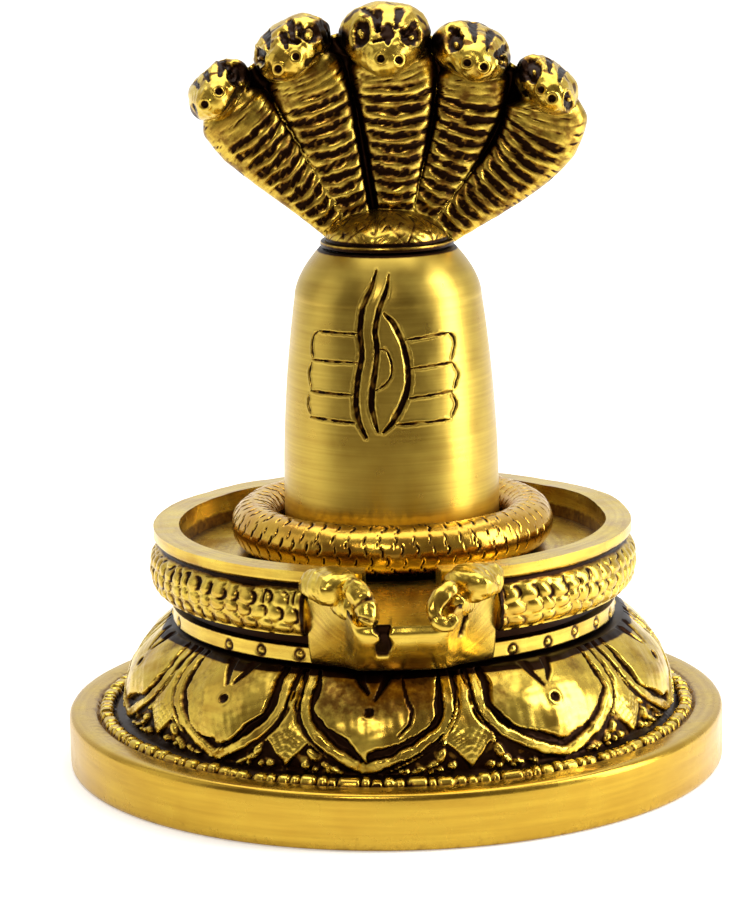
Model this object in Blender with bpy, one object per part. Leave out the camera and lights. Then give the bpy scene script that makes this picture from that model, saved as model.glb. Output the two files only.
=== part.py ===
"""Brass shiva lingam: lotus base, yoni basin, coil ring, lingam shaft and a five-headed cobra hood.

The origin is the centre of the underside. +Z is up and -Y is the front, where the basin's spout points.
All lengths are in metres and all angles in degrees.
"""
import math

import bmesh
import bpy
from mathutils import Matrix, Vector

# Clearance between castings that stand on each other
SEAT_GAP = 0.0003

# Foot disc
DISC_RADIUS = 0.0430
DISC_HEIGHT = 0.0072
DISC_EDGE = 0.0007
BEAD_RING_INSET = 0.0049
BEAD_HEIGHT = 0.0008
BEAD_WIDTH = 0.0016
BEAD_GROOVE_DEPTH = 0.0005
DISC_SEGMENTS = 50

# Lotus dome with its carved petals
LOTUS_INSET = 0.0017
LOTUS_LEDGE = 0.0007
LOTUS_HEIGHT = 0.0116
LOTUS_ROUNDING = 2.4
LOTUS_SHIFT = 0.0004
FRONT_PETALS = (-76.4, -39.2, -6.5, 34.5, 74.0)
REAR_PETALS = 5
PETAL_BULGE = 0.0004
PETAL_GROOVE = 0.0008
PETAL_BAND_DROP = 0.0001
LEAF_DROP = 0.0003
LOTUS_ROWS = (0.0, 0.10, 0.17, 0.24, 0.34, 0.46, 0.64, 0.85, 1.0)
PETAL_SPREAD_HEIGHT = 0.70

# Yoni basin, from its foot band up to its rim
FOOT_BAND_RADIUS = 0.0290
FOOT_BAND_HEIGHT = 0.0022
NECK_INSET = 0.0008
NECK_HEIGHT = 0.0019
SCALE_BAND_PROUD = 0.0004
SCALE_BAND_HEIGHT = 0.0060
SCALE_BAND_EDGE = 0.0010
RIM_NECK_INSET = 0.0008
RIM_NECK_HEIGHT = 0.0010
RIM_RADIUS = 0.0312
RIM_HEIGHT = 0.0013
RIM_WIDTH = 0.0033
BASIN_DEPTH = 0.0038
BASIN_TURN = 1.9
BASIN_STEP = 8.4

# Spout and the scrolls beside its channel
SPOUT_LENGTH = 0.0074
SPOUT_FRONT_WIDTH = 0.0126
SPOUT_ROOT_WIDTH = 0.0238
SPOUT_LIP_DROP = 0.0010
CHANNEL_WIDTH = 0.0092
KNOB_RADIUS = 0.0030
KNOB_RISE = 0.0013
CURL_RADIUS = 0.0017
CURL_END_RADIUS = 0.0012

# Coil ring on the basin floor
SHAFT_CLEARANCE = 0.0006
COIL_TUBE_RADIUS = 0.00325
COIL_SEGMENTS = 28
COIL_SIDES = 10

# Turned lingam shaft
SHAFT_RADIUS = 0.0140
SHAFT_HEIGHT = 0.0393
SHAFT_TAPER = 0.0019
SHAFT_TOP_RADIUS = 0.0088
SHOULDER_HEIGHT = 0.0063
SHAFT_SEGMENTS = 26

# Mark engraved on the shaft's front: two waving strokes, an eye beside them and bars on both sides.
# Angles are from the front, positive to the right; heights are shares of the shaft's height.
ENGRAVING_DEPTH = 0.00035
STROKE_WIDTH = 0.0009
STROKE_STEPS = 3
BAR_WIDTH = 0.0005
BAR_FOOT = 0.476
BAR_PITCH = 0.095
BAR_LINES = 4
LEFT_BARS = (-48.0, -19.5)
RIGHT_BARS = (11.0, 36.0)
LEFT_STROKE = ((-8.0, 0.959), (-16.0, 0.840), (-15.4, 0.695), (-19.0, 0.537), (-12.6, 0.425))
RIGHT_STROKE = ((0.8, 0.947), (-7.5, 0.789), (-6.8, 0.687), (-10.2, 0.532), (-6.5, 0.445))
EYE_TOP = 0.830
EYE_FOOT = 0.443
EYE_ANGLE = -4.0
EYE_BULGE = 15.0
PUPIL_TOP = 0.715
PUPIL_FOOT = 0.580
PUPIL_ANGLE = -7.5
PUPIL_BULGE = 9.0

# Cap of the cobra hood
CAP_RADIUS = 0.0086
CAP_FLANGE_HEIGHT = 0.0007
CAP_DOME_RADIUS = 0.0080
CAP_HEIGHT = 0.0046
CAP_SEGMENTS = 18

# Cobra necks and heads
NECK_RIBS = 11
NECK_SPREAD = 0.72
NECK_END_SHARE = 0.62
NECK_HANDLE = 0.33
NECK_SETBACK = 0.0011
RIB_DEPTH = 0.00035
NECK_SIDES = 8
NECK_ROOT_RISE = 0.0010
NECK_BELLY = 0.78
NECK_BACK = 0.70
HEAD_SIDES = 11
HEAD_DEPTH = 0.0048
HEAD_HEIGHT_SHARE = 0.68
SNOUT_REACH = 0.0027
SNOUT_DROP = 0.0024
NECK_END_DROP = 0.0010
WEB_FRONT = 0.0003
WEB_THICKNESS = 0.0018
WEB_RISE = 0.0008

# One row for each cobra, seen from the front. Lengths are from the axis and from the foot of the cap.
# name, neck root x, neck's lean at the root and at the head, half widths at root and head,
# head (x, z), head half width, roll about the viewing axis, turn outwards, lift of the snout
COBRAS = (
    ("outer_left", -0.0055, (-37.0, -18.0), (0.0016, 0.0042),
     (-0.0210, 0.0202), 0.0046, -42.0, -18.0, 10.0),
    ("inner_left", -0.0031, (-17.0, -18.0), (0.0016, 0.0047),
     (-0.0116, 0.0254), 0.0054, -32.0, -14.0, 10.0),
    ("middle", 0.0010, (3.0, -8.0), (0.0016, 0.0047),
     (0.0002, 0.0270), 0.0059, 0.0, 1.0, 0.0),
    ("inner_right", 0.0042, (22.0, 4.0), (0.0015, 0.0042),
     (0.0111, 0.0246), 0.0053, 18.0, 10.0, 12.0),
    ("outer_right", 0.0062, (56.0, -8.0), (0.0017, 0.0049),
     (0.0207, 0.0199), 0.0047, 42.0, 13.0, 14.0),
)

# Radii and heights that follow from the sizes above
BEAD_RING_RADIUS = DISC_RADIUS - BEAD_RING_INSET
LOTUS_RADIUS = BEAD_RING_RADIUS - LOTUS_INSET
LOTUS_TOP_RADIUS = FOOT_BAND_RADIUS + LOTUS_LEDGE
NECK_RADIUS = FOOT_BAND_RADIUS - NECK_INSET
SCALE_BAND_RADIUS = RIM_RADIUS + SCALE_BAND_PROUD
RIM_NECK_RADIUS = RIM_RADIUS - RIM_NECK_INSET
SPOUT_REACH = RIM_RADIUS + SPOUT_LENGTH
LOTUS_BASE_Z = DISC_HEIGHT
LOTUS_TOP_Z = LOTUS_BASE_Z + LOTUS_HEIGHT
BASIN_Z = LOTUS_TOP_Z + SEAT_GAP
NECK_Z = BASIN_Z + FOOT_BAND_HEIGHT
SCALE_BAND_Z = NECK_Z + NECK_HEIGHT
RIM_NECK_Z = SCALE_BAND_Z + SCALE_BAND_HEIGHT
RIM_PLATE_Z = RIM_NECK_Z + RIM_NECK_HEIGHT
RIM_TOP_Z = RIM_PLATE_Z + RIM_HEIGHT
FLOOR_Z = RIM_TOP_Z - BASIN_DEPTH
LIP_Z = FLOOR_Z - SPOUT_LIP_DROP
SHAFT_Z = FLOOR_Z + SEAT_GAP
SHAFT_TOP_Z = SHAFT_Z + SHAFT_HEIGHT
CAP_Z = SHAFT_TOP_Z + SEAT_GAP
COIL_RADIUS = SHAFT_RADIUS + SHAFT_CLEARANCE + COIL_TUBE_RADIUS


def clear_scene():
    for old in list(bpy.data.objects):
        bpy.data.objects.remove(old, do_unlink=True)


def brass(name, colour, roughness):
    """A brass finish: colour is linear RGB."""
    made = bpy.data.materials.new(name)
    made.use_nodes = True
    shader = made.node_tree.nodes["Principled BSDF"]
    shader.inputs["Base Color"].default_value = (*colour, 1.0)
    shader.inputs["Metallic"].default_value = 1.0
    shader.inputs["Roughness"].default_value = roughness
    return made


def polar(radius, degrees, z):
    """A point at an angle from the front (-Y), positive towards +X."""
    angle = math.radians(degrees)
    return Vector((radius * math.sin(angle), -radius * math.cos(angle), z))


def mix(start, end, share):
    return start + (end - start) * share


def ease(value, low, high):
    """A smooth step from 0 at low to 1 at high."""
    share = min(1.0, max(0.0, (value - low) / (high - low)))
    return share * share * (3.0 - 2.0 * share)


def mesh_object(name, build):
    """An object from bmesh geometry, with its faces turned outwards."""
    bmesh.ops.recalc_face_normals(build, faces=build.faces)
    mesh = bpy.data.meshes.new(name)
    build.to_mesh(mesh)
    build.free()
    made = bpy.data.objects.new(name, mesh)
    bpy.context.collection.objects.link(made)
    return made


def bridge(build, lower, upper):
    """Faces between two closed rings. The upper one may have twice as many points."""
    count = len(lower)
    ratio = len(upper) // count
    for i in range(count):
        across = (i + 1) % count
        side = [upper[(i * ratio + k) % len(upper)] for k in range(ratio, -1, -1)]
        build.faces.new([lower[i], lower[across]] + side)


def lathe_body(name, rings):
    """A closed body through rings of points, with a flat face over its first and last ring."""
    build = bmesh.new()
    levels = [[build.verts.new(point) for point in ring] for ring in rings]
    for lower, upper in zip(levels, levels[1:]):
        bridge(build, lower, upper)
    build.faces.new(list(reversed(levels[0])))
    build.faces.new(levels[-1])
    return mesh_object(name, build)


def round_ring(radius, z, count):
    return [polar(radius, 360.0 * i / count, z) for i in range(count)]


def combine(name, parts, operation, solver):
    """One body: the first part, with the others joined to it or cut from it."""
    body = parts[0]
    for part in parts[1:]:
        step = body.modifiers.new("step", "BOOLEAN")
        step.operation = operation
        step.solver = solver
        step.object = part
    depsgraph = bpy.context.evaluated_depsgraph_get()
    mesh = bpy.data.meshes.new_from_object(body.evaluated_get(depsgraph))
    for part in parts:
        bpy.data.objects.remove(part, do_unlink=True)
    mesh.name = name
    made = bpy.data.objects.new(name, mesh)
    bpy.context.collection.objects.link(made)
    return made


def finish(made, material, parent, sharp_angle=38.0):
    """Smooth shading, the material and the parent."""
    made.data.materials.clear()
    made.data.materials.append(material)
    made.data.shade_smooth()
    made.data.set_sharp_from_angle(angle=math.radians(sharp_angle))
    made.parent = parent


def petal_centres():
    """Angles of all petals: the front five as cut by hand, the rest evenly round the back."""
    centres = list(FRONT_PETALS)
    gap = (360.0 + FRONT_PETALS[0] - FRONT_PETALS[-1]) / (REAR_PETALS + 1)
    centres += [FRONT_PETALS[-1] + gap * (i + 1) for i in range(REAR_PETALS)]
    return centres


def petal_share(height, tip, full):
    """Half width of a petal line at a height on the dome, as a share of the petal's half sector."""
    run = min(1.0, max(0.0, (height - tip) / (PETAL_SPREAD_HEIGHT - tip)))
    return full * math.sin(math.pi / 2.0 * run) ** 0.75


def petal_lines(height):
    """Shares across half a petal: its field's edge, groove, raised band, outer groove and the leaf."""
    wanted = (
        petal_share(height, 0.20, 0.70),
        petal_share(height, 0.13, 0.79),
        petal_share(height, 0.07, 0.88),
        petal_share(height, 0.00, 0.95),
    )
    least = 0.045
    shares = []
    for i, share in enumerate(wanted):
        shares.append(max(share, least * (i + 1)))
    return shares + [1.0]


def petal_relief(line, height):
    """Height of the carving on one of the lines that petal_lines gives; line 0 is the petal's middle."""
    on_field = (PETAL_BULGE * ease(height, 0.2, 0.5), 0.0)
    if line == 0:
        if height < 0.08:
            return -PETAL_GROOVE
        if height < 0.14:
            return -PETAL_BAND_DROP
        if height < 0.20:
            return -PETAL_GROOVE
        return on_field[0]
    edges = (on_field[1], -PETAL_GROOVE, -PETAL_BAND_DROP, -PETAL_GROOVE, -LEAF_DROP)
    if line == 5 and height < 0.08:
        return -PETAL_GROOVE
    if line == 1 and height < 0.20:
        return petal_relief(0, height)
    return edges[line - 1]


def lotus_ring(height):
    """One ring of the dome, whose points follow the petals' lines."""
    radius = LOTUS_RADIUS - (LOTUS_RADIUS - LOTUS_TOP_RADIUS) * height ** LOTUS_ROUNDING
    z = LOTUS_BASE_Z + LOTUS_HEIGHT * height
    carved = ease(height, 0.0, 0.06) * (1.0 - ease(height, 0.97, 1.0))
    lines = petal_lines(height)
    centres = petal_centres()
    count = len(centres)
    ring = []
    for i, centre in enumerate(centres):
        before = (centre - centres[i - 1]) % 360.0 / 2.0
        after = (centres[(i + 1) % count] - centre) % 360.0 / 2.0
        for line in (4, 3, 2, 1):
            relief = petal_relief(line, height) * carved
            ring.append(polar(radius + relief, centre - before * lines[line - 1], z))
        ring.append(polar(radius + petal_relief(0, height) * carved, centre, z))
        for line in (1, 2, 3, 4, 5):
            relief = petal_relief(line, height) * carved
            ring.append(polar(radius + relief, centre + after * lines[line - 1], z))
    return [point + Vector((LOTUS_SHIFT, 0.0, 0.0)) for point in ring]


def disc_rings():
    """The foot disc's rings, from the underside up and in to the lotus."""
    half = BEAD_WIDTH / 2.0
    groove_z = DISC_HEIGHT - BEAD_GROOVE_DEPTH
    profile = (
        (DISC_RADIUS - DISC_EDGE, 0.0),
        (DISC_RADIUS, DISC_EDGE),
        (DISC_RADIUS, DISC_HEIGHT - DISC_EDGE),
        (DISC_RADIUS - DISC_EDGE, DISC_HEIGHT),
        (BEAD_RING_RADIUS + half + BEAD_GROOVE_DEPTH, DISC_HEIGHT),
        (BEAD_RING_RADIUS + half, groove_z),
        (BEAD_RING_RADIUS, groove_z + BEAD_HEIGHT + BEAD_GROOVE_DEPTH),
        (BEAD_RING_RADIUS - half, groove_z),
    )
    turn = petal_centres()[0] - 16.0
    rings = []
    for radius, z in profile:
        rings.append([polar(radius, turn + 360.0 * i / DISC_SEGMENTS, z) for i in range(DISC_SEGMENTS)])
    return rings


def make_lotus_base():
    rings = disc_rings()
    rings += [lotus_ring(height) for height in LOTUS_ROWS]
    return lathe_body("lotus_base", rings)


def spout_outline(degrees):
    """Plan radius of the spout's top edge at an angle from its middle."""
    front = SPOUT_FRONT_WIDTH / 2.0
    root = SPOUT_ROOT_WIDTH / 2.0
    root_back = math.sqrt(RIM_RADIUS ** 2 - root ** 2)
    angle = math.radians(abs(degrees))
    if angle <= math.atan2(front, SPOUT_REACH):
        return SPOUT_REACH / math.cos(angle)
    across = root - front
    back = SPOUT_REACH - root_back
    return (SPOUT_REACH * across + front * back) / (math.cos(angle) * across + math.sin(angle) * back)


def basin_angles():
    """Angles of the basin's columns: close together at the spout, even round the rest."""
    spout_end = math.degrees(math.asin(SPOUT_ROOT_WIDTH / 2.0 / RIM_RADIUS))
    corner = math.degrees(math.atan2(SPOUT_FRONT_WIDTH / 2.0, SPOUT_REACH))
    channel = math.degrees(math.asin(CHANNEL_WIDTH / 2.0 / RIM_RADIUS))
    near = sorted({0.0, channel * 0.5, channel, corner, (corner + spout_end) / 2.0, spout_end - 0.3})
    far_count = round((180.0 - spout_end) / BASIN_STEP)
    far = [mix(spout_end + 0.3, 180.0, i / far_count) for i in range(far_count)]
    half = near + far
    return [-angle for angle in reversed(half[1:])] + half + [180.0]


def basin_profile():
    """Radius and height of the basin's rings, from its foot up over the rim and down to its floor."""
    band_top = RIM_NECK_Z
    return (
        (FOOT_BAND_RADIUS - SEAT_GAP, BASIN_Z),
        (FOOT_BAND_RADIUS, BASIN_Z + SEAT_GAP),
        (FOOT_BAND_RADIUS, NECK_Z),
        (NECK_RADIUS, NECK_Z + SEAT_GAP),
        (NECK_RADIUS, SCALE_BAND_Z - SEAT_GAP),
        (SCALE_BAND_RADIUS - SCALE_BAND_EDGE, SCALE_BAND_Z),
        (SCALE_BAND_RADIUS - SCALE_BAND_EDGE * 0.2, mix(SCALE_BAND_Z, band_top, 0.25)),
        (SCALE_BAND_RADIUS, mix(SCALE_BAND_Z, band_top, 0.55)),
        (SCALE_BAND_RADIUS - SCALE_BAND_EDGE * 0.4, mix(SCALE_BAND_Z, band_top, 0.90)),
        (RIM_NECK_RADIUS, mix(RIM_NECK_Z, RIM_PLATE_Z, 0.3)),
        (RIM_RADIUS, RIM_PLATE_Z),
        (RIM_RADIUS, RIM_TOP_Z),
        (RIM_RADIUS - RIM_WIDTH, RIM_TOP_Z),
        (RIM_RADIUS - RIM_WIDTH - SEAT_GAP, FLOOR_Z),
    )


def basin_point(level, radius, z, degrees, last_level):
    """A point of the basin: its own profile, or the spout's face and channel at the front."""
    spout_end = math.degrees(math.asin(SPOUT_ROOT_WIDTH / 2.0 / RIM_RADIUS))
    channel = math.degrees(math.asin(CHANNEL_WIDTH / 2.0 / RIM_RADIUS))
    lip_level = 7
    if abs(degrees) > spout_end:
        return polar(radius, degrees, z)
    edge = spout_outline(degrees)
    if level <= lip_level:
        share = level / lip_level
        rise = mix(BASIN_Z, LIP_Z, share)
        foot = FOOT_BAND_RADIUS - (SEAT_GAP if level == 0 else 0.0)
        return polar(mix(foot, edge, share ** 0.9), degrees, rise)
    if abs(degrees) > channel:
        return polar(radius, degrees, z)
    share = (level - lip_level) / (last_level - lip_level)
    return polar(mix(edge, radius if level == last_level else RIM_RADIUS - RIM_WIDTH, share), degrees,
                 mix(LIP_Z, FLOOR_Z, share))


def scroll_knob(side):
    """The round scroll that ends the rim on one side of the channel."""
    build = bmesh.new()
    bmesh.ops.create_uvsphere(build, u_segments=10, v_segments=7, radius=KNOB_RADIUS)
    across = CHANNEL_WIDTH / 2.0 + KNOB_RADIUS + SEAT_GAP * 2.0
    middle = Vector((side * across, -RIM_RADIUS, RIM_TOP_Z + KNOB_RISE - KNOB_RADIUS))
    bmesh.ops.translate(build, verts=build.verts, vec=middle)
    return mesh_object("knob", build)


def scroll_curl(side):
    """The smaller curl that runs from the knob forward and down to the lip."""
    inner = CHANNEL_WIDTH / 2.0
    stations = (
        (inner + 0.0030, -RIM_RADIUS, RIM_TOP_Z - 0.0008, CURL_RADIUS),
        (inner + 0.0012, -RIM_RADIUS - SPOUT_LENGTH * 0.36, RIM_TOP_Z - 0.0009, CURL_RADIUS),
        (inner + 0.0004, -RIM_RADIUS - SPOUT_LENGTH * 0.68, RIM_TOP_Z - 0.0020, CURL_RADIUS),
        (inner + 0.0003, -RIM_RADIUS - SPOUT_LENGTH * 0.86, LIP_Z + 0.0014, CURL_END_RADIUS),
        (inner + 0.0004, -RIM_RADIUS - SPOUT_LENGTH * 0.89, LIP_Z - 0.0004, CURL_END_RADIUS * 0.7),
    )
    path = [Vector((side * x, y, z)) for x, y, z, radius in stations]
    rings = []
    for i, station in enumerate(stations):
        along = (path[min(i + 1, len(path) - 1)] - path[max(i - 1, 0)]).normalized()
        across = along.cross(Vector((0.0, 0.0, 1.0)).lerp(Vector((0.0, 1.0, 0.0)), 0.5)).normalized()
        up = across.cross(along)
        ring = []
        for k in range(8):
            angle = 2.0 * math.pi * k / 8
            ring.append(path[i] + station[3] * (across * math.cos(angle) + up * math.sin(angle)))
        rings.append(ring)
    return lathe_body("curl", rings)


def make_yoni_basin():
    profile = basin_profile()
    angles = basin_angles()
    last = len(profile) - 1
    rings = []
    for level, (radius, z) in enumerate(profile):
        rings.append([basin_point(level, radius, z, degrees, last) for degrees in angles])
    bowl = lathe_body("bowl", rings)
    scrolls = [shape(side) for shape in (scroll_knob, scroll_curl) for side in (-1.0, 1.0)]
    basin = combine("yoni_basin", [bowl] + scrolls, "UNION", "EXACT")
    basin.rotation_euler.z = math.radians(BASIN_TURN)
    return basin


def make_coil_ring():
    """A ring of flattened round section that rests on the basin floor."""
    build = bmesh.new()
    rest_z = FLOOR_Z + SEAT_GAP + COIL_TUBE_RADIUS
    sections = []
    for i in range(COIL_SEGMENTS):
        degrees = 360.0 * i / COIL_SEGMENTS
        section = []
        for k in range(COIL_SIDES):
            angle = 2.0 * math.pi * (k + 0.5) / COIL_SIDES
            reach = COIL_TUBE_RADIUS / math.cos(math.pi / COIL_SIDES)
            flat = COIL_TUBE_RADIUS
            offset_z = max(-flat, min(flat, reach * math.sin(angle)))
            radius = COIL_RADIUS + max(-flat, min(flat, reach * math.cos(angle)))
            section.append(build.verts.new(polar(radius, degrees, rest_z + offset_z)))
        sections.append(section)
    for i, section in enumerate(sections):
        bridge(build, section, sections[(i + 1) % COIL_SEGMENTS])
    return mesh_object("coil_ring", build)


def shaft_radius(z):
    """The turned outline: nearly straight below, with a round shoulder above."""
    body_height = SHAFT_HEIGHT - SHOULDER_HEIGHT
    rise = z - SHAFT_Z
    straight = SHAFT_RADIUS - SHAFT_TAPER * ease_square(rise, body_height)
    if rise <= body_height:
        return straight
    over = (rise - body_height) / SHOULDER_HEIGHT
    return straight - (SHAFT_RADIUS - SHAFT_TAPER - SHAFT_TOP_RADIUS) * over ** 1.75


def ease_square(rise, height):
    """0 over the lowest fifth, then rising with the square of the height."""
    start = height * 0.2
    share = max(0.0, min(1.0, (rise - start) / (height - start)))
    return share ** 2


def groove_cutter(points, width):
    """A V-shaped bar that follows angles and heights on the shaft, for cutting a groove into it."""
    rings = []
    path = []
    for degrees, height in points:
        z = SHAFT_Z + SHAFT_HEIGHT * height
        path.append(polar(shaft_radius(z), degrees, z))
    for i, (degrees, height) in enumerate(points):
        along = (path[min(i + 1, len(path) - 1)] - path[max(i - 1, 0)]).normalized()
        outwards = polar(1.0, degrees, 0.0)
        across = along.cross(outwards).normalized() * width / 2.0
        proud = path[i] + outwards * ENGRAVING_DEPTH
        rings.append([proud - across * 2.0, proud + across * 2.0, path[i] - outwards * ENGRAVING_DEPTH])
    return lathe_body("groove", rings)


def waving(points, steps):
    """The same angles and heights with a smooth curve between them."""
    ends = [points[0]] + list(points) + [points[-1]]
    curve = [points[0]]
    for before, start, end, after in zip(ends, ends[1:], ends[2:], ends[3:]):
        for step in range(1, steps + 1):
            share = step / steps
            place = []
            for k in (0, 1):
                bend = (2.0 * before[k] - 5.0 * start[k] + 4.0 * end[k] - after[k]) * share
                twist = (3.0 * start[k] - before[k] - 3.0 * end[k] + after[k]) * share ** 2
                place.append(start[k] + 0.5 * share * (end[k] - before[k] + bend + twist))
            curve.append(tuple(place))
    return curve


def arc_points(top, foot, degrees, bulge, steps):
    """Points of an arc on the shaft that bulges to the right between two heights."""
    shares = [i / steps for i in range(steps + 1)]
    return [(degrees + bulge * math.sin(math.pi * share), mix(top, foot, share)) for share in shares]


def engraving_cutters():
    cutters = [
        groove_cutter(waving(LEFT_STROKE, STROKE_STEPS), STROKE_WIDTH),
        groove_cutter(waving(RIGHT_STROKE, STROKE_STEPS), STROKE_WIDTH),
        groove_cutter(arc_points(EYE_TOP, EYE_FOOT, EYE_ANGLE, EYE_BULGE, 5), STROKE_WIDTH),
        groove_cutter(arc_points(PUPIL_TOP, PUPIL_FOOT, PUPIL_ANGLE, PUPIL_BULGE, 3), BAR_WIDTH),
    ]
    for line in range(BAR_LINES):
        height = BAR_FOOT + BAR_PITCH * line
        for start, end in (LEFT_BARS, RIGHT_BARS):
            points = [(mix(start, end, share), height) for share in (0.0, 0.5, 1.0)]
            cutters.append(groove_cutter(points, BAR_WIDTH))
    return cutters


def make_lingam_shaft():
    rises = (0.0, 0.25, 0.5, 0.75)
    shoulder = (0.0, 0.35, 0.65, 0.86, 1.0)
    body_height = SHAFT_HEIGHT - SHOULDER_HEIGHT
    levels = [SHAFT_Z + body_height * share for share in rises]
    levels += [SHAFT_Z + body_height + SHOULDER_HEIGHT * share for share in shoulder]
    rings = [round_ring(shaft_radius(z), z, SHAFT_SEGMENTS) for z in levels]
    turned = lathe_body("turned_shaft", rings)
    return combine("lingam_shaft", [turned] + engraving_cutters(), "DIFFERENCE", "EXACT")


def make_cap():
    """The flange and low leaf-carved dome that close the lingam."""
    dome_z = CAP_Z + CAP_FLANGE_HEIGHT
    rise = CAP_HEIGHT - CAP_FLANGE_HEIGHT
    rings = [
        round_ring(CAP_RADIUS, CAP_Z, CAP_SEGMENTS),
        round_ring(CAP_RADIUS, dome_z, CAP_SEGMENTS),
    ]
    for step in range(5):
        angle = math.radians(80.0 * step / 4)
        rings.append(round_ring(CAP_DOME_RADIUS * math.cos(angle), dome_z + rise * math.sin(angle), CAP_SEGMENTS))
    return lathe_body("cap", rings)


def leaning(degrees):
    """A direction in the hood's plane that leans from upright, positive to the right."""
    angle = math.radians(degrees)
    return Vector((math.sin(angle), 0.0, math.cos(angle)))


def neck_path(root_x, leans, head, share):
    """A point on the neck's middle line: a cubic curve from the cap into the head."""
    start = Vector((root_x, 0.0, CAP_Z + NECK_ROOT_RISE))
    end = Vector((head[0], 0.0, CAP_Z + head[1])) - leaning(leans[1]) * NECK_END_DROP
    handle = (end - start).length * NECK_HANDLE
    lower = start + leaning(leans[0]) * handle
    upper = end - leaning(leans[1]) * handle
    rest = 1.0 - share
    point = start * rest ** 3 + lower * (3.0 * share * rest ** 2)
    point += upper * (3.0 * rest * share ** 2) + end * share ** 3
    return point + Vector((0.0, NECK_SETBACK * math.sin(math.pi * min(share, 1.0)), 0.0))


def make_neck(name, root_x, leans, widths, head):
    """A tapering neck whose belly carries raised ribs."""
    rows = NECK_RIBS * 2
    rings = []
    for row in range(rows + 1):
        share = row / rows
        centre = neck_path(root_x, leans, head, share)
        along = (neck_path(root_x, leans, head, share + 0.01) - centre).normalized()
        across = along.cross(Vector((0.0, 1.0, 0.0))).normalized()
        half = mix(widths[0], widths[1], min(share / NECK_SPREAD, 1.0) ** 1.15)
        half *= mix(1.0, NECK_END_SHARE, ease(share, 0.82, 1.0))
        rib = RIB_DEPTH if row % 2 else -RIB_DEPTH
        ring = []
        for k in range(NECK_SIDES):
            angle = 2.0 * math.pi * (k + 0.75) / NECK_SIDES
            side = math.cos(angle)
            front = math.sin(angle)
            raised = rib * max(0.0, front) ** 0.5
            depth = half * (NECK_BELLY if front > 0.0 else NECK_BACK) + raised
            sideways = across * side * (half + raised * 0.5)
            ring.append(centre + sideways + Vector((0.0, -front * depth, 0.0)))
        rings.append(ring)
    return lathe_body("neck_" + name, rings)


def head_matrix(head, roll, turn, lift):
    """Head frame: x across, y forward towards the snout, z up over the crown."""
    place = Matrix.Translation(Vector((head[0], 0.0, CAP_Z + head[1])))
    face_front = Matrix.Rotation(math.pi, 4, "Z")
    rolled = Matrix.Rotation(math.radians(roll), 4, "Y")
    turned = Matrix.Rotation(math.radians(turn), 4, "Z")
    lifted = Matrix.Rotation(math.radians(lift), 4, "X")
    return place @ turned @ rolled @ face_front @ lifted


def make_head(name, head, half_width, roll, turn, lift):
    """A broad skull that narrows to a rounded, drooping snout."""
    size = half_width / 0.0058
    half_height = half_width * HEAD_HEIGHT_SHARE
    stations = (-0.985, -0.80, -0.40, 0.05, 0.45, 0.72, 0.90, 0.985)
    rings = []
    for station in stations:
        section = math.sqrt(1.0 - station ** 2)
        snout = ease(station, 0.05, 0.95)
        forward = (HEAD_DEPTH * station + SNOUT_REACH * snout) * size
        drop = SNOUT_DROP * snout * size
        wide = half_width * section * (1.0 - 0.25 * snout)
        tall = half_height * section * (1.0 + 0.10 * snout)
        ring = []
        for k in range(HEAD_SIDES):
            angle = 2.0 * math.pi * k / HEAD_SIDES
            ring.append(Vector((wide * math.cos(angle), forward, tall * math.sin(angle) - drop)))
        rings.append(ring)
    made = lathe_body("head_" + name, rings)
    made.data.transform(head_matrix(head, roll, turn, lift))
    return made


def make_web():
    """The sheet of metal that fills the spaces between the necks and behind the heads."""
    heads = [(row[4][0], CAP_Z + row[4][1]) for row in COBRAS]
    left_neck = [neck_path(*COBRAS[0][1:3], COBRAS[0][4], share) for share in (0.1, 0.3, 0.5, 0.75)]
    right_neck = [neck_path(*COBRAS[-1][1:3], COBRAS[-1][4], share) for share in (0.75, 0.5, 0.3, 0.1)]
    outline = [(point.x, point.z) for point in left_neck]
    for i, (x, z) in enumerate(heads):
        outline.append((x, z))
        if i + 1 < len(heads):
            after = heads[i + 1]
            outline.append(((x + after[0]) / 2.0, (z + after[1]) / 2.0 + WEB_RISE))
    outline += [(point.x, point.z) for point in right_neck]
    build = bmesh.new()
    front = [build.verts.new((x, WEB_FRONT, z)) for x, z in outline]
    face = build.faces.new(front)
    swept = bmesh.ops.extrude_face_region(build, geom=[face])
    moved = [item for item in swept["geom"] if isinstance(item, bmesh.types.BMVert)]
    bmesh.ops.translate(build, verts=moved, vec=(0.0, WEB_THICKNESS, 0.0))
    return mesh_object("web", build)


def make_cobra_hood():
    parts = [make_cap(), make_web()]
    for name, root_x, leans, widths, head, half_width, roll, turn, lift in COBRAS:
        parts.append(make_neck(name, root_x, leans, widths, head))
        parts.append(make_head(name, head, half_width, roll, turn, lift))
    return combine("cobra_hood", parts, "UNION", "MANIFOLD")


def build_part():
    clear_scene()
    root = bpy.data.objects.new("shiva_lingam", None)
    bpy.context.collection.objects.link(root)
    antique = brass("antique_brass", (0.46, 0.27, 0.06), 0.30)
    brushed = brass("brushed_brass", (0.60, 0.43, 0.13), 0.34)
    polished = brass("polished_brass", (0.58, 0.38, 0.10), 0.22)
    finish(make_lotus_base(), antique, root)
    finish(make_yoni_basin(), antique, root)
    finish(make_coil_ring(), polished, root)
    finish(make_lingam_shaft(), brushed, root)
    finish(make_cobra_hood(), antique, root)


build_part()
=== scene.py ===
# %% [markdown]
# # Brass shiva lingam with a five-headed cobra hood
# A small altar piece of cast and chased brass. Five castings stand on each other: a lotus foot, a basin
# with a spout, a coiled ring, the turned lingam and the cobra hood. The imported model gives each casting's
# true size and place, and every piece below is built over its own solid.

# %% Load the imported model
import math

import bpy
import numpy as np
from mathutils import Matrix, Vector


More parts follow.
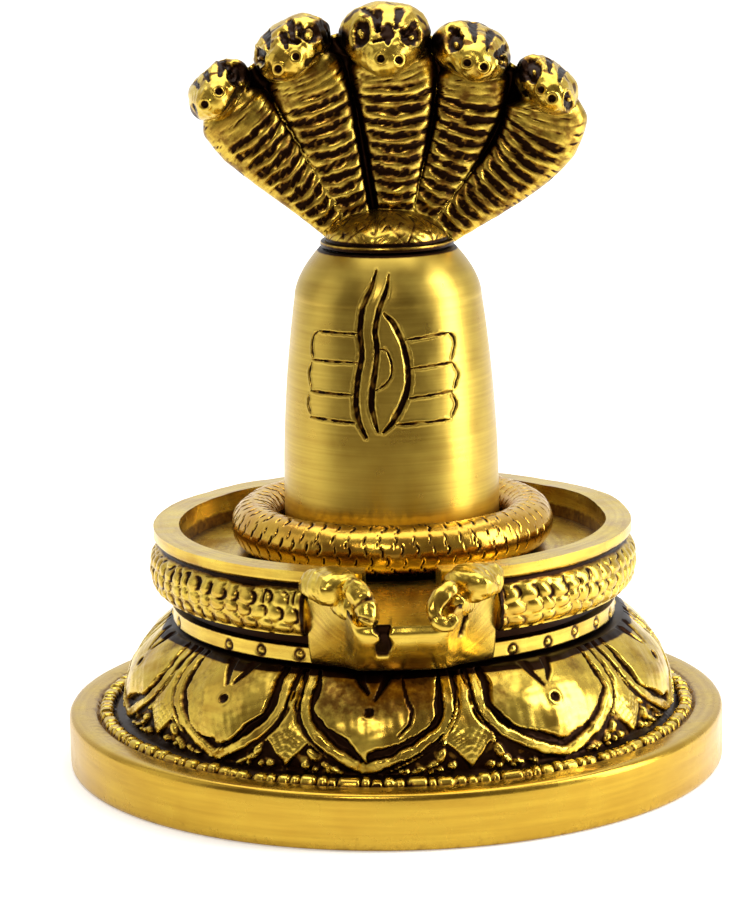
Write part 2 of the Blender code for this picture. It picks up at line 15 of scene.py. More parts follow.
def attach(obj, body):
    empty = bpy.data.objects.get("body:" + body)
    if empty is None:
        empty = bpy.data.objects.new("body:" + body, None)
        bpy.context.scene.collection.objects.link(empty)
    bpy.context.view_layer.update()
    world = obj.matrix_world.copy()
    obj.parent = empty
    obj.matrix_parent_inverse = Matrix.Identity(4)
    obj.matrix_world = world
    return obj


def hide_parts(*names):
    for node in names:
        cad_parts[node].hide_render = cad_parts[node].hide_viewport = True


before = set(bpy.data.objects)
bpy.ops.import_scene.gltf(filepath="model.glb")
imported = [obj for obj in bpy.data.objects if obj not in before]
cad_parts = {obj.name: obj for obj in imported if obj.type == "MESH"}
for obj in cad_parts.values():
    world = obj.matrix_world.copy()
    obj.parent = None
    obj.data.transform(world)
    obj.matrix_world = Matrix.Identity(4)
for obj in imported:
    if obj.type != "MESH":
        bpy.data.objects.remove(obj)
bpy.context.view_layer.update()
MM = 0.001
print("nodes:", sorted(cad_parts))

# %% [markdown]
# ## Grids with relief
# Shapes are worked out in millimetres on grids of points, because chased relief is easiest to describe
# as a height over a smooth surface. Each grid also carries how dark its recesses are, so that the finish
# can leave old lacquer in the cuts, as the maker does when the raised parts are rubbed bright.


# %% Shared shaping helpers
def smooth(value, low, high):
    """0 below low, 1 above high, with a soft change between them."""
    share = np.clip((value - low) / (high - low), 0.0, 1.0)
    return share * share * (3.0 - 2.0 * share)


def mix(start, end, share):
    return start + (end - start) * share


def ripple(points, length, seed):
    """A gentle random wave between about -1 and 1 over points in millimetres."""
    draw = np.random.default_rng(seed)
    total = 0.0
    for wave in range(7):
        way = draw.normal(size=3)
        way = way / np.linalg.norm(way) / (length * draw.uniform(0.7, 1.5))
        total = total + np.sin(2.0 * math.pi * (points @ way + draw.uniform()))
    return total / 3.4


# %% Distance to a chisel line, and points round an axis
def line_distance(u, v, line):
    """Distance from each point to a line of corners, and how far along the line the nearest place is."""
    line = np.asarray(line, float)
    lengths = np.hypot(*(line[1:] - line[:-1]).T)
    reached = np.concatenate([[0.0], np.cumsum(lengths)])
    best = np.full(np.shape(u), 1e9)
    along = np.zeros(np.shape(u))
    for i, (start, end) in enumerate(zip(line[:-1], line[1:])):
        run = end - start
        share = ((u - start[0]) * run[0] + (v - start[1]) * run[1]) / max(lengths[i] ** 2, 1e-12)
        share = np.clip(share, 0.0, 1.0)
        gap = np.hypot(u - start[0] - share * run[0], v - start[1] - share * run[1])
        nearer = gap < best
        best = np.where(nearer, gap, best)
        along = np.where(nearer, reached[i] + share * lengths[i], along)
    return best, along / reached[-1]


def around(radius, degrees, z):
    """Points at an angle from the front, positive towards the viewer's right."""
    angle = np.radians(degrees)
    return np.stack(np.broadcast_arrays(radius * np.sin(angle), -radius * np.cos(angle), z), axis=-1)


def grid_normals(points):
    """Outward directions of a grid whose columns go round."""
    across = np.roll(points, -1, axis=1) - np.roll(points, 1, axis=1)
    normals = np.cross(across, np.gradient(points, axis=0))
    return normals / np.maximum(np.linalg.norm(normals, axis=-1, keepdims=True), 1e-9)


# %% Turn a grid into a mesh object
def grid_faces(index, caps, wrap_rows):
    """Quads of a grid of point numbers, with a flat face on its first and last row if wanted."""
    rows = np.vstack([index, index[:1]]) if wrap_rows else index
    right = np.roll(rows, -1, axis=1)
    faces = np.stack([rows[:-1], right[:-1], right[1:], rows[1:]], axis=-1).reshape(-1, 4).tolist()
    if caps[0]:
        faces.append(index[0][::-1].tolist())
    if caps[1]:
        faces.append(index[-1].tolist())
    return faces


def mesh_object(name, points, faces, lacquer):
    """A mesh object from points in millimetres, with its lacquer painted on as the recess value."""
    mesh = bpy.data.meshes.new(name)
    mesh.from_pydata(points * MM, [], faces)
    layer = mesh.attributes.new("recess", "FLOAT", "POINT")
    layer.data.foreach_set("value", np.clip(lacquer, 0.0, 1.0).astype(np.float32))
    mesh.shade_smooth()
    mesh.set_sharp_from_angle(angle=math.radians(65.0))
    made = bpy.data.objects.new(name, mesh)
    bpy.context.collection.objects.link(made)
    return made


def grid_object(name, points, lacquer, caps=(True, True), wrap_rows=False):
    """A mesh object from a grid whose columns go round."""
    rows, columns = points.shape[:2]
    index = np.arange(rows * columns).reshape(rows, columns)
    faces = grid_faces(index, caps, wrap_rows)
    return mesh_object(name, points.reshape(-1, 3), faces, np.ravel(lacquer))


# %% Join parts, and hand a piece over
def fused(name, parts):
    """One casting from parts that run into each other."""
    body = parts[0]
    for part in parts[1:]:
        step = body.modifiers.new("join", "BOOLEAN")
        step.operation = "UNION"
        step.solver = "MANIFOLD"
        step.object = part
    depsgraph = bpy.context.evaluated_depsgraph_get()
    mesh = bpy.data.meshes.new_from_object(body.evaluated_get(depsgraph))
    mesh.validate()
    for part in parts:
        bpy.data.objects.remove(part, do_unlink=True)
    mesh.name = name
    made = bpy.data.objects.new(name, mesh)
    bpy.context.collection.objects.link(made)
    return made


def place(made, node, material):
    """The piece takes over from its solid and wears its finish."""
    made.data.materials.clear()
    made.data.materials.append(material)
    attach(made, "root")
    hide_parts(node)
    triangles = sum(len(face.vertices) - 2 for face in made.data.polygons)
    print(made.name, "has", triangles, "triangles")


# %% [markdown]
# ## Camera and light
# The photo is a product shot: a long lens a little above the piece, on white, inside a light tent. The
# brass mirrors the tent's bright sides at its edges and the dim side of the camera in its middle.


# %% Camera at the photo's angle
# Found by laying the model's outline over the photo's: metres, radians and pixels.
CAMERA_DISTANCE = 0.42
CAMERA_HEIGHT = 0.12566603
CAMERA_PITCH = 0.19986083
CAMERA_ROLL = -0.01972858
CAMERA_YAW = -0.00510549
FOCAL_PIXELS = 3289.398
PHOTO_HEIGHT = 900.0


def add_camera():
    """A long lens that looks down at the piece, rolled a little as the photographer held it."""
    forward = Vector((math.sin(CAMERA_YAW) * math.cos(CAMERA_PITCH),
                      math.cos(CAMERA_YAW) * math.cos(CAMERA_PITCH),
                      -math.sin(CAMERA_PITCH)))
    right = forward.cross(Vector((0.0, 0.0, 1.0))).normalized()
    up = right.cross(forward)
    turned_right = right * math.cos(CAMERA_ROLL) + up * math.sin(CAMERA_ROLL)
    turned_up = up * math.cos(CAMERA_ROLL) - right * math.sin(CAMERA_ROLL)
    lens = bpy.data.cameras.new("photo_camera")
    lens.sensor_width = 36.0
    lens.lens = FOCAL_PIXELS * lens.sensor_width / PHOTO_HEIGHT
    lens.clip_start = 0.01
    camera = bpy.data.objects.new("photo_camera", lens)
    bpy.context.collection.objects.link(camera)
    pose = Matrix((turned_right, turned_up, -forward)).transposed().to_4x4()
    pose.translation = Vector((0.0, -CAMERA_DISTANCE, CAMERA_HEIGHT))
    camera.matrix_world = pose
    bpy.context.scene.camera = camera
    print("lens:", round(lens.lens, 1), "mm, looking", round(math.degrees(CAMERA_PITCH), 1), "degrees down")


add_camera()


# %% Colours and nodes
def colour(code):
    """Linear colour from a six-digit sRGB code."""
    channels = [int(code[i:i + 2], 16) / 255.0 for i in (1, 3, 5)]
    linear = [c / 12.92 if c <= 0.04045 else ((c + 0.055) / 1.055) ** 2.4 for c in channels]
    return (*linear, 1.0)


def add(tree, kind, inputs=None, stops=(), **settings):
    """One node: settings are its own, inputs are sockets that get a value or another node's output, and
    stops are a colour ramp's places and colours, from low to high."""
    node = tree.nodes.new(kind)
    for name, value in settings.items():
        setattr(node, name, value)
    for name, value in (inputs or {}).items():
        socket = node.inputs[name]
        if isinstance(value, bpy.types.NodeSocket):
            tree.links.new(value, socket)
        else:
            socket.default_value = value
    for i, (spot, code) in enumerate(stops):
        if i >= len(node.color_ramp.elements):
            node.color_ramp.elements.new(spot)
        node.color_ramp.elements[i].position = spot
        node.color_ramp.elements[i].color = colour(code)
    return node


# %% Room seen in the brass
ROOM_TONES = ((0.0, "#6F6557"), (0.45, "#A59F94"), (0.9, "#ECE8E1"), (1.0, "#FFFFFF"))


def add_world():
    """A room that is dim towards the camera and bright behind the piece."""
    world = bpy.data.worlds.new("tent")
    world.use_nodes = True
    tree = world.node_tree
    way = add(tree, "ShaderNodeTexCoord").outputs["Generated"]
    depth = add(tree, "ShaderNodeSeparateXYZ", {"Vector": way}).outputs["Y"]
    behind = add(tree, "ShaderNodeMapRange", {0: depth, 1: -0.7, 2: 0.8}).outputs[0]
    tone = add(tree, "ShaderNodeValToRGB", {"Fac": behind}, ROOM_TONES).outputs["Color"]
    tree.links.new(tone, tree.nodes["Background"].inputs["Color"])
    bpy.context.scene.world = world
    bpy.context.scene.view_settings.view_transform = "Standard"
    print("room with", len(ROOM_TONES), "tones from front to back")


add_world()


# %% White paper floor
# Paper tones: the dim one lies in front of the piece as painted shade, where the lamps' light falls off.
PAPER_SHADE_TONES = ((0.0, "#B0A797"), (1.0, "#F4F3F1"))


def add_floor():
    """White paper, painted dim in front of the piece as the shade where the lamps' light falls off. It glows
    more with distance, so that it stays pure white up to the horizon as in the photo."""
    floor = bpy.data.meshes.new("floor")
    floor.from_pydata([(-4, -2, 0), (4, -2, 0), (4, 7, 0), (-4, 7, 0)], [], [(0, 1, 2, 3)])
    made = bpy.data.objects.new("floor", floor)
    bpy.context.collection.objects.link(made)
    paper = bpy.data.materials.new("white_paper")
    paper.use_nodes = True
    tree = paper.node_tree
    shader = tree.nodes["Principled BSDF"]
    spot = add(tree, "ShaderNodeTexCoord").outputs["Object"]
    depth = add(tree, "ShaderNodeSeparateXYZ", {"Vector": spot}).outputs["Y"]
    lit = add(tree, "ShaderNodeMapRange", {0: depth, 1: -0.17, 2: -0.055},
              interpolation_type="SMOOTHSTEP").outputs[0]
    tone = add(tree, "ShaderNodeValToRGB", {"Fac": lit}, PAPER_SHADE_TONES).outputs["Color"]
    tree.links.new(tone, shader.inputs["Base Color"])
    far = add(tree, "ShaderNodeMapRange", {0: depth, 1: 0.05, 2: 0.40, 3: 0.36, 4: 0.80}).outputs[0]
    glow = add(tree, "ShaderNodeMath", {0: lit, 1: far}, operation="MULTIPLY").outputs[0]
    tree.links.new(glow, shader.inputs["Emission Strength"])
    shader.inputs["Emission Color"].default_value = colour("#FFFFFF")
    shader.inputs["Roughness"].default_value = 0.9
    shader.inputs["Specular IOR Level"].default_value = 0.0
    floor.materials.append(paper)
    print("floor laid")


add_floor()

# %% Tent lamps
# Name, place in metres, width and height in metres, watts, colour.
LAMPS = (
    ("tent_top", (0.0, 0.10, 0.60), (0.6, 0.6), 2.6, "#FFFFFF"),
    ("tent_right", (0.25, -0.05, 0.13), (0.10, 0.26), 0.72, "#FFFFFF"),
    ("tent_left", (-0.27, -0.03, 0.13), (0.16, 0.26), 0.08, "#FFFFFF"),
    ("tent_front", (-0.10, -0.45, 0.36), (0.11, 0.11), 0.50, "#FFF6E8"),
)
LAMP_TARGET = Vector((0.0, 0.0, 0.05))

for lamp_name, lamp_place, lamp_size, watts, lamp_tone in LAMPS:
    lamp = bpy.data.lights.new(lamp_name, "AREA")
    lamp.shape = "RECTANGLE"
    lamp.size = lamp_size[0]
    lamp.size_y = lamp_size[1]
    lamp.energy = watts
    lamp.color = colour(lamp_tone)[:3]
    softbox = bpy.data.objects.new(lamp_name, lamp)
    bpy.context.collection.objects.link(softbox)
    softbox.location = lamp_place
    softbox.rotation_euler = (LAMP_TARGET - Vector(lamp_place)).to_track_quat("-Z", "Y").to_euler()
    softbox.visible_camera = False
    print(lamp_name, "gives", watts, "W")

# %% [markdown]
# ## Finishes
# All pieces are one brass. The castings are dipped in a near-black antique lacquer and rubbed back, so
# cuts stay dark with a ragged brown rim while raised parts shine yellow. The lingam is only brushed on
# the lathe, and the ring is turned bright before its crescents are punched. Brass is a metal, so the
# default IOR stays and its colour makes the look. Polished brass starts at a roughness of about 0.2 and
# brushed brass at about 0.3, and both were then matched to the width of the glints in the photo.

# %% Pattern sizes in millimetres, and the lacquer's colours
# Lacquer wears off along a ragged edge with crumbs under a millimetre, and tarnish creeps in patches of a
# few millimetres.
CRUMB = 0.769
PATCH = 4.17
LACQUER = "#22130A"
LACQUER_RIM = "#75521F"
BUMP_SHARE = 0.6


# %% Brush strokes
def brush_strokes(tree, split, radius, stroke):
    """Noise drawn out round the axis, as a brush or a lathe tool leaves it. Its second direction is height
    plus radius, so that flat tops get rings and walls get lines."""
    length, width = stroke
    flat = add(tree, "ShaderNodeCombineXYZ", {"X": split["X"], "Y": split["Y"]}).outputs[0]
    out = add(tree, "ShaderNodeVectorMath", {0: flat}, operation="LENGTH").outputs["Value"]
    way = add(tree, "ShaderNodeVectorMath", {0: flat}, operation="NORMALIZE").outputs[0]
    climb = add(tree, "ShaderNodeMath", {0: out, 1: split["Z"]}, operation="ADD").outputs[0]
    level = add(tree, "ShaderNodeMath", {0: climb, 1: 1.0 / (width * MM)}, operation="MULTIPLY").outputs[0]
    lift = add(tree, "ShaderNodeCombineXYZ", {"Z": level}).outputs[0]
    drawn_out = add(tree, "ShaderNodeVectorMath", {0: way, 1: (radius / length,) * 3, 2: lift},
                    operation="MULTIPLY_ADD").outputs[0]
    return add(tree, "ShaderNodeTexNoise", {"Vector": drawn_out, "Scale": 1.0, "Detail": 5.0}).outputs[0]


# %% Where the old lacquer lies
def lacquer_cover(tree, crumbs, patch, mottle):
    """How dark each place is: the recess painted on the mesh, made ragged by the crumbs and patches.
    Above about a half it is black lacquer, and a little below that a brown rim."""
    recess = add(tree, "ShaderNodeAttribute", attribute_name="recess").outputs["Fac"]
    ragged = add(tree, "ShaderNodeMath", {0: crumbs, 1: mottle, 2: -0.5 * mottle},
                 operation="MULTIPLY_ADD").outputs[0]
    tarnish = add(tree, "ShaderNodeMath", {0: patch, 1: 0.32 * mottle, 2: -0.17 * mottle},
                  operation="MULTIPLY_ADD").outputs[0]
    creep = add(tree, "ShaderNodeMath", {0: ragged, 1: tarnish}, operation="ADD").outputs[0]
    return add(tree, "ShaderNodeMath", {0: recess, 1: creep}, operation="ADD").outputs[0]


# %% Bare metal
def bare_brass(tree, patch, strokes, on_lathe, tones, lathe_tint):
    """Two tones in soft clouds with faint streaks, calmer and paler where a lathe tool passed."""
    warm, bright = tones
    cloud = add(tree, "ShaderNodeMath", {0: patch, 1: strokes}, operation="ADD").outputs[0]
    cloud = add(tree, "ShaderNodeMath", {0: cloud, 1: 0.5}, operation="MULTIPLY").outputs[0]
    calm = add(tree, "ShaderNodeMath", {0: on_lathe, 1: 0.6}, operation="MULTIPLY").outputs[0]
    cloud = add(tree, "ShaderNodeMix", {0: calm, 2: cloud, 3: 0.52}).outputs[0]
    metal = add(tree, "ShaderNodeValToRGB", {"Fac": cloud}, ((0.32, warm), (0.64, bright))).outputs["Color"]
    streaked = add(tree, "ShaderNodeMapRange", {0: strokes, 1: 0.3, 2: 0.7, 3: 0.96, 4: 1.02}).outputs[0]
    metal = add(tree, "ShaderNodeVectorMath", {0: metal, 3: streaked}, operation="SCALE").outputs[0]
    tint = add(tree, "ShaderNodeMix", {0: on_lathe, 6: colour("#FFFFFF"), 7: colour(lathe_tint)},
               data_type="RGBA").outputs[2]
    return add(tree, "ShaderNodeVectorMath", {0: metal, 1: tint}, operation="MULTIPLY").outputs[0]


# %% Brass finish
def brass_finish(name, tones, roughness, radius, stroke, depths, mottle, turned=(-1000.0, "#FFFFFF")):
    """Brass with lacquer in its recesses. radius is the piece's own, stroke is a brush stroke's length and
    width, and depths are those of the strokes and of the casting's soft dents. mottle is how far tarnish
    creeps over bare metal. Below turned's height the casting is lathe turned, with that tint. All lengths
    are millimetres."""
    material = bpy.data.materials.new(name)
    material.use_nodes = True
    tree = material.node_tree
    shader = tree.nodes["Principled BSDF"]
    shader.inputs["Metallic"].default_value = 1.0
    spot = add(tree, "ShaderNodeTexCoord").outputs["Object"]
    split = add(tree, "ShaderNodeSeparateXYZ", {"Vector": spot}).outputs
    strokes = brush_strokes(tree, split, radius, stroke)
    crumbs = add(tree, "ShaderNodeTexNoise", {"Vector": spot, "Scale": 1.0 / (CRUMB * MM), "Detail": 6.0,
                                              "Roughness": 0.62}).outputs[0]
    patch = add(tree, "ShaderNodeTexNoise", {"Vector": spot, "Scale": 1.0 / (PATCH * MM),
                                             "Detail": 5.0}).outputs[0]
    uneven = lacquer_cover(tree, crumbs, patch, mottle)

    # Colour: bare brass, then the brown rim, then black lacquer over it
    top = turned[0] * MM
    on_lathe = add(tree, "ShaderNodeMapRange", {0: split["Z"], 1: top, 2: top - 0.3 * MM}).outputs[0]
    metal = bare_brass(tree, patch, strokes, on_lathe, tones, turned[1])
    rim = add(tree, "ShaderNodeMapRange", {0: uneven, 1: 0.10, 2: 0.48},
              interpolation_type="SMOOTHSTEP").outputs[0]
    lacquer = add(tree, "ShaderNodeMapRange", {0: uneven, 1: 0.44, 2: 0.66},
                  interpolation_type="SMOOTHSTEP").outputs[0]
    brown = add(tree, "ShaderNodeMix", {0: rim, 6: metal, 7: colour(LACQUER_RIM)},
                data_type="RGBA").outputs[2]
    tone = add(tree, "ShaderNodeMix", {0: lacquer, 6: brown, 7: colour(LACQUER)},
               data_type="RGBA").outputs[2]
    tree.links.new(tone, shader.inputs["Base Color"])

    # Gloss: duller in the patches and under lacquer
    cloudy = add(tree, "ShaderNodeMapRange", {0: patch, 1: 0.3, 2: 0.7, 3: roughness - 0.05,
                                              4: roughness + 0.06}).outputs[0]
    dull = add(tree, "ShaderNodeMapRange", {0: uneven, 1: 0.1, 2: 0.7, 3: 0.0, 4: 0.16}).outputs[0]
    gloss = add(tree, "ShaderNodeMath", {0: cloudy, 1: dull}, operation="ADD").outputs[0]
    tree.links.new(gloss, shader.inputs["Roughness"])

    # Three depths of unevenness: brush strokes, crumbs and the casting's soft dents
    normal = None
    for height, depth in ((strokes, depths[0]), (crumbs, depths[1] * 0.35), (patch, depths[1])):
        inputs = {"Strength": BUMP_SHARE, "Distance": depth * MM, "Height": height}
        if normal is not None:
            inputs["Normal"] = normal
        normal = add(tree, "ShaderNodeBump", inputs).outputs[0]
    tree.links.new(normal, shader.inputs["Normal"])
    print("finish", name, "at roughness", roughness)
    return material


# %% The three finishes
# Real brush marks are about 0.05 mm wide. That is too fine to show, so they are drawn 0.3 to 0.7 mm wide.

# Antique brass, cast, chased, lacquered dark and rubbed back: yellow glints, brown edges, black cuts. The
# foot disc, below 7.4 mm, is lathe turned and a little paler.
antique = brass_finish("antique_brass", ("#BA9238", "#E6CB56"), roughness=0.25, radius=43.0,
                       stroke=(14.33, 0.667), depths=(0.006, 0.06), mottle=0.62, turned=(7.4, "#E4D8C0"))

# Polished brass, turned and buffed: the warmest and glossiest, with sharp glints on each scale.
polished = brass_finish("polished_brass", ("#C48F34", "#E2BC4A"), roughness=0.22, radius=17.85,
                        stroke=(4.46, 0.5), depths=(0.01, 0.06), mottle=0.40)

# Brushed brass, turned and rubbed round the axis: broad soft bands of light and fine level lines.
brushed = brass_finish("brushed_brass", ("#B3943E", "#C6AB4C"), roughness=0.31, radius=14.0,
                       stroke=(14.0, 0.333), depths=(0.007, 0.01), mottle=0.30)

# %% [markdown]
# ## Lotus foot
# The foot is a turned disc with a milled bead ring and a dome carved with ten petals. Each petal is a
# smooth field inside two chiselled grooves with a narrow band between them. Hatched kites stand between
# the petals, with small leaves and dots over a dark ground. It could be sculpted, but every cut is a
# height over a plain dome, so a fine grid moved in and out by formula gives the same relief and keeps the
# foot's true size.

# %% Lotus sizes in millimetres, and petal middles in degrees from the front
DISC_RADIUS = 43.0
DISC_HEIGHT = 7.2
BEAD_RADIUS = 38.1
BEADS = 144
LOTUS_COLUMNS = BEADS * 8
LOTUS_RADIUS = 36.4
LOTUS_TOP_RADIUS = 29.7
LOTUS_HEIGHT = 11.6
LOTUS_ROUNDING = 2.4
LOTUS_SHIFT = 0.4
FRONT_PETALS = (-76.4, -39.2, -6.5, 34.5, 74.0)
REAR_PETALS = 5
PETAL_TIP = 0.085
# The petal under the spout is painted darker towards its top, as the spout's shade.
SPOUT_SHADED_PETAL = 2
print("petals:", len(FRONT_PETALS) + REAR_PETALS, "and beads:", BEADS)


# %% Where each petal lies
def petal_places(turn):
    """For each angle: degrees from the nearest petal's middle, half its sector there, and its number."""
    gap = (360.0 + FRONT_PETALS[0] - FRONT_PETALS[-1]) / (REAR_PETALS + 1)
    centres = list(FRONT_PETALS) + [FRONT_PETALS[-1] + gap * (i + 1) for i in range(REAR_PETALS)]
    offset = np.full(turn.shape, 999.0)
    half = np.zeros(turn.shape)
    number = np.zeros(turn.shape, int)
    for i, centre in enumerate(centres):
        away = (turn - centre + 180.0) % 360.0 - 180.0
        before = (centre - centres[i - 1]) % 360.0 / 2.0
        after = (centres[(i + 1) % len(centres)] - centre) % 360.0 / 2.0
        mine = (away > -before) & (away <= after)
        offset = np.where(mine, away, offset)
        half = np.where(mine, np.where(away < 0.0, before, after), half)
        number = np.where(mine, i, number)
    return offset, half, number


# %% Shape of the dome and of a petal
def dome_radius(height):
    """Radius of the dome; height runs from 0 at its foot to 1 at its top."""
    return LOTUS_RADIUS - (LOTUS_RADIUS - LOTUS_TOP_RADIUS) * height ** LOTUS_ROUNDING


def dome_rows(count):
    """Heights (0 to 1) spaced evenly along the dome, with the length climbed at each."""
    fine = np.linspace(0.0, 1.0, 2000)
    climb = np.hypot(np.diff(dome_radius(fine)), np.diff(fine) * LOTUS_HEIGHT)
    climb = np.concatenate([[0.0], np.cumsum(climb)])
    wanted = np.linspace(0.0, climb[-1], count)
    return np.interp(wanted, climb, fine), wanted


def petal_width(height):
    """Half width of a petal's outline as a share of its half sector."""
    run = np.clip((height - PETAL_TIP) / (0.72 - PETAL_TIP), 0.0, 1.0)
    return 0.835 * np.sin(math.pi / 2.0 * run) ** 0.82


# %% Petal relief
def petal_relief(side, up, petal_half, height, seed):
    """Height and lacquer of one half petal. side and up are millimetres from its middle and its foot."""
    # How far each point is inside the petal's outline (below 0) or outside it
    fine = np.linspace(PETAL_TIP, 1.0, 90)
    reach = np.radians(petal_half) * dome_radius(fine)
    climb = np.interp(fine, height[:, 0], up[:, 0])
    outline = np.stack([petal_width(fine) * reach, climb], axis=-1)
    mirrored = outline[:8][::-1] * (-1.0, 1.0)
    gap, along = line_distance(side, up, np.vstack([mirrored, outline]))
    width_here = petal_width(height) * np.radians(petal_half) * dome_radius(height)
    inside = (side < width_here) & (height > PETAL_TIP)
    reach_in = np.where(inside, -gap, gap)

    # The two grooves wander and swell, as a chisel pushed by hand leaves them
    flat = np.stack([side + 40.0 * seed, up, 0.0 * up], axis=-1)
    chisel = 0.12 * ripple(flat, 2.6, 11) + 0.07 * ripple(flat, 1.0, 12)
    path = np.stack([along * 16.0, 0.0 * along + 9.0 * seed, 0.0 * along], axis=-1)
    inner_width = np.clip(0.58 + 0.30 * ripple(path, 6.0, 13), 0.24, 1.0)
    inner_width = inner_width * (1.0 - 0.4 * smooth(along, 0.86, 1.0))
    outer_width = np.clip(0.40 + 0.18 * ripple(path, 5.0, 14), 0.18, 0.62)
    inner_gap = np.abs(reach_in + 0.48 + inner_width) + chisel
    outer_gap = np.abs(reach_in - 0.42 - outer_width) + chisel * 0.7
    inner = 1.0 - smooth(inner_gap, inner_width * 0.45, inner_width)
    outer = 1.0 - smooth(outer_gap, outer_width * 0.3, outer_width)

    # The field bulges from its groove, and the band between the grooves stays nearly level
    band = 1.0 - smooth(np.abs(reach_in), 0.25, 0.60)
    field = smooth(-reach_in, 0.9, 6.0)
    relief = 0.42 * field - 0.85 * inner - 0.60 * outer - 0.08 * band
    shade = (0.13 + 0.13 * ripple(flat, 5.0, 15)) * smooth(-reach_in, 0.9, 1.6)
    return reach_in, relief, np.maximum(np.maximum(inner, outer), shade)


# %% Kites, small leaves and dots between the petals
# Each knob: distance from the kite's middle line, height, half width, half height, and lean.
KNOBS = (
    (2.35, 1.05, 0.58, 0.52, 0.0),
    (3.75, 2.45, 0.52, 0.95, 0.6),
    (3.70, 0.75, 0.45, 0.34, 0.1),
    (5.00, 1.40, 0.80, 0.40, -0.5),
    (5.30, 0.60, 0.40, 0.28, 0.0),
    (6.70, 0.75, 0.85, 0.34, -0.25),
    (8.40, 0.65, 0.70, 0.28, -0.1),
    (3.00, 4.40, 0.30, 0.90, 0.5),
)


def between_relief(from_edge, up, reach_in, relief, lacquer, seed):
    """The hatched kite between two petals, and the small leaves and dots on the dark ground."""
    draw = np.random.default_rng(100 + seed)
    ground = smooth(reach_in, 0.95, 1.30)
    flat = np.stack([from_edge + 30.0 * seed, up, 0.0 * up], axis=-1)
    rough_edge = 0.14 * ripple(flat, 1.6, 21)

    # Kite: half width at each height, cut off by the petals and hatched low down
    kite_half = np.interp(up, (0.8, 4.2, 7.0, 10.5, 13.2), (0.0, 3.1, 2.1, 1.1, 0.6))
    kite = smooth(np.minimum(kite_half - from_edge, (reach_in - 1.20) * 1.2) + rough_edge, -0.05, 0.28)
    hatch = np.maximum(
        np.exp(-(np.sin((from_edge * 0.9 + up * 1.5) * 2.4) / 0.42) ** 2),
        np.exp(-(np.sin((up * 1.1 - from_edge * 1.4) * 2.2) / 0.36) ** 2) * 0.8,
    )
    hatch = hatch * kite * smooth(6.4 - up, 0.0, 1.4) * smooth(kite_half - from_edge, 0.25, 0.6)
    height_here = (-0.04 - 0.30 * np.clip(from_edge / 2.6, 0.0, 1.0) - 0.14 * hatch) * kite
    raised = kite
    shade = 0.34 * hatch

    # Knobs: small leaves and dots, each set down a little differently
    for middle, level, across, tall, lean in KNOBS:
        over = from_edge - middle - draw.uniform(-0.3, 0.3)
        above = up - level - draw.uniform(-0.12, 0.12)
        tilt = lean + draw.uniform(-0.3, 0.3)
        u = over * math.cos(tilt) + above * math.sin(tilt)
        v = above * math.cos(tilt) - over * math.sin(tilt)
        knob = smooth(1.2 - np.hypot(u / across, v / tall) + rough_edge, 0.0, 0.45)
        knob = knob * smooth(reach_in, 0.95, 1.35) * (1.0 - kite)
        raised = np.maximum(raised, knob)
        height_here = np.where(knob > kite, -0.66 + 0.56 * knob, height_here)

    # All the rest is dark ground, chiselled down
    carved = mix(-0.72 + 0.0 * up, height_here, raised)
    relief = mix(relief, carved, ground)
    worn = np.clip(0.86 + 0.42 * ripple(flat, 1.5, 22), 0.30, 1.0)
    lacquer = mix(lacquer, np.maximum((1.0 - raised) * worn, shade), ground)
    return relief, lacquer


# %% Cuts on a petal's field
def field_marks(across, up, number, relief, lacquer):
    """The V of two chisel cuts and the punched dot on each petal's field."""
    slant = 0.45 * math.sin(number * 2.3 + 3.6)
    # The V, with a black wedge above it
    for side in (-1.0, 1.0):
        low_end = (side * 0.45 + slant, 10.4 - slant * side)
        cut = ((side * 1.75 + slant, 13.9), (side * 1.3 + slant, 12.2), low_end)
        gap, along = line_distance(across, up, cut)
        width = mix(0.85, 0.28, along)
        groove = 1.0 - smooth(gap, width * 0.5, width)
        relief = relief - 0.50 * groove
        lacquer = np.maximum(lacquer, groove)
    top = smooth(up, 12.0, 12.7) * (1.0 - smooth(np.abs(across - slant), 1.1, 2.0))
    lacquer = np.maximum(lacquer, top * 0.95)

    # Punched dot with a raised lip
    dot = np.hypot(across - slant * 0.5, up - 8.3)
    relief = relief - 0.45 * (1.0 - smooth(dot, 0.30, 0.70)) + 0.10 * np.exp(-((dot - 0.84) / 0.18) ** 2)
    lacquer = np.maximum(lacquer, 1.0 - smooth(dot, 0.50, 0.74))

    # Every third petal has a light arc near its tip
    arc = ((-1.2 + slant, 3.0), (slant, 2.35), (1.5 + slant, 2.9))
    if number % 3 == 0:
        relief, lacquer = chased_line(across, up, arc, 0.18, 0.16, relief, lacquer)
    return relief, lacquer


def chased_line(u, v, line, width, depth, relief, lacquer):
    """One tapering chisel line."""
    gap, along = line_distance(u, v, line)
    here = width * (0.55 + 0.45 * np.sin(math.pi * np.clip(along, 0.04, 0.96)))
    groove = 1.0 - smooth(gap, here * 0.25, here)
    return relief - depth * groove, np.maximum(lacquer, groove)


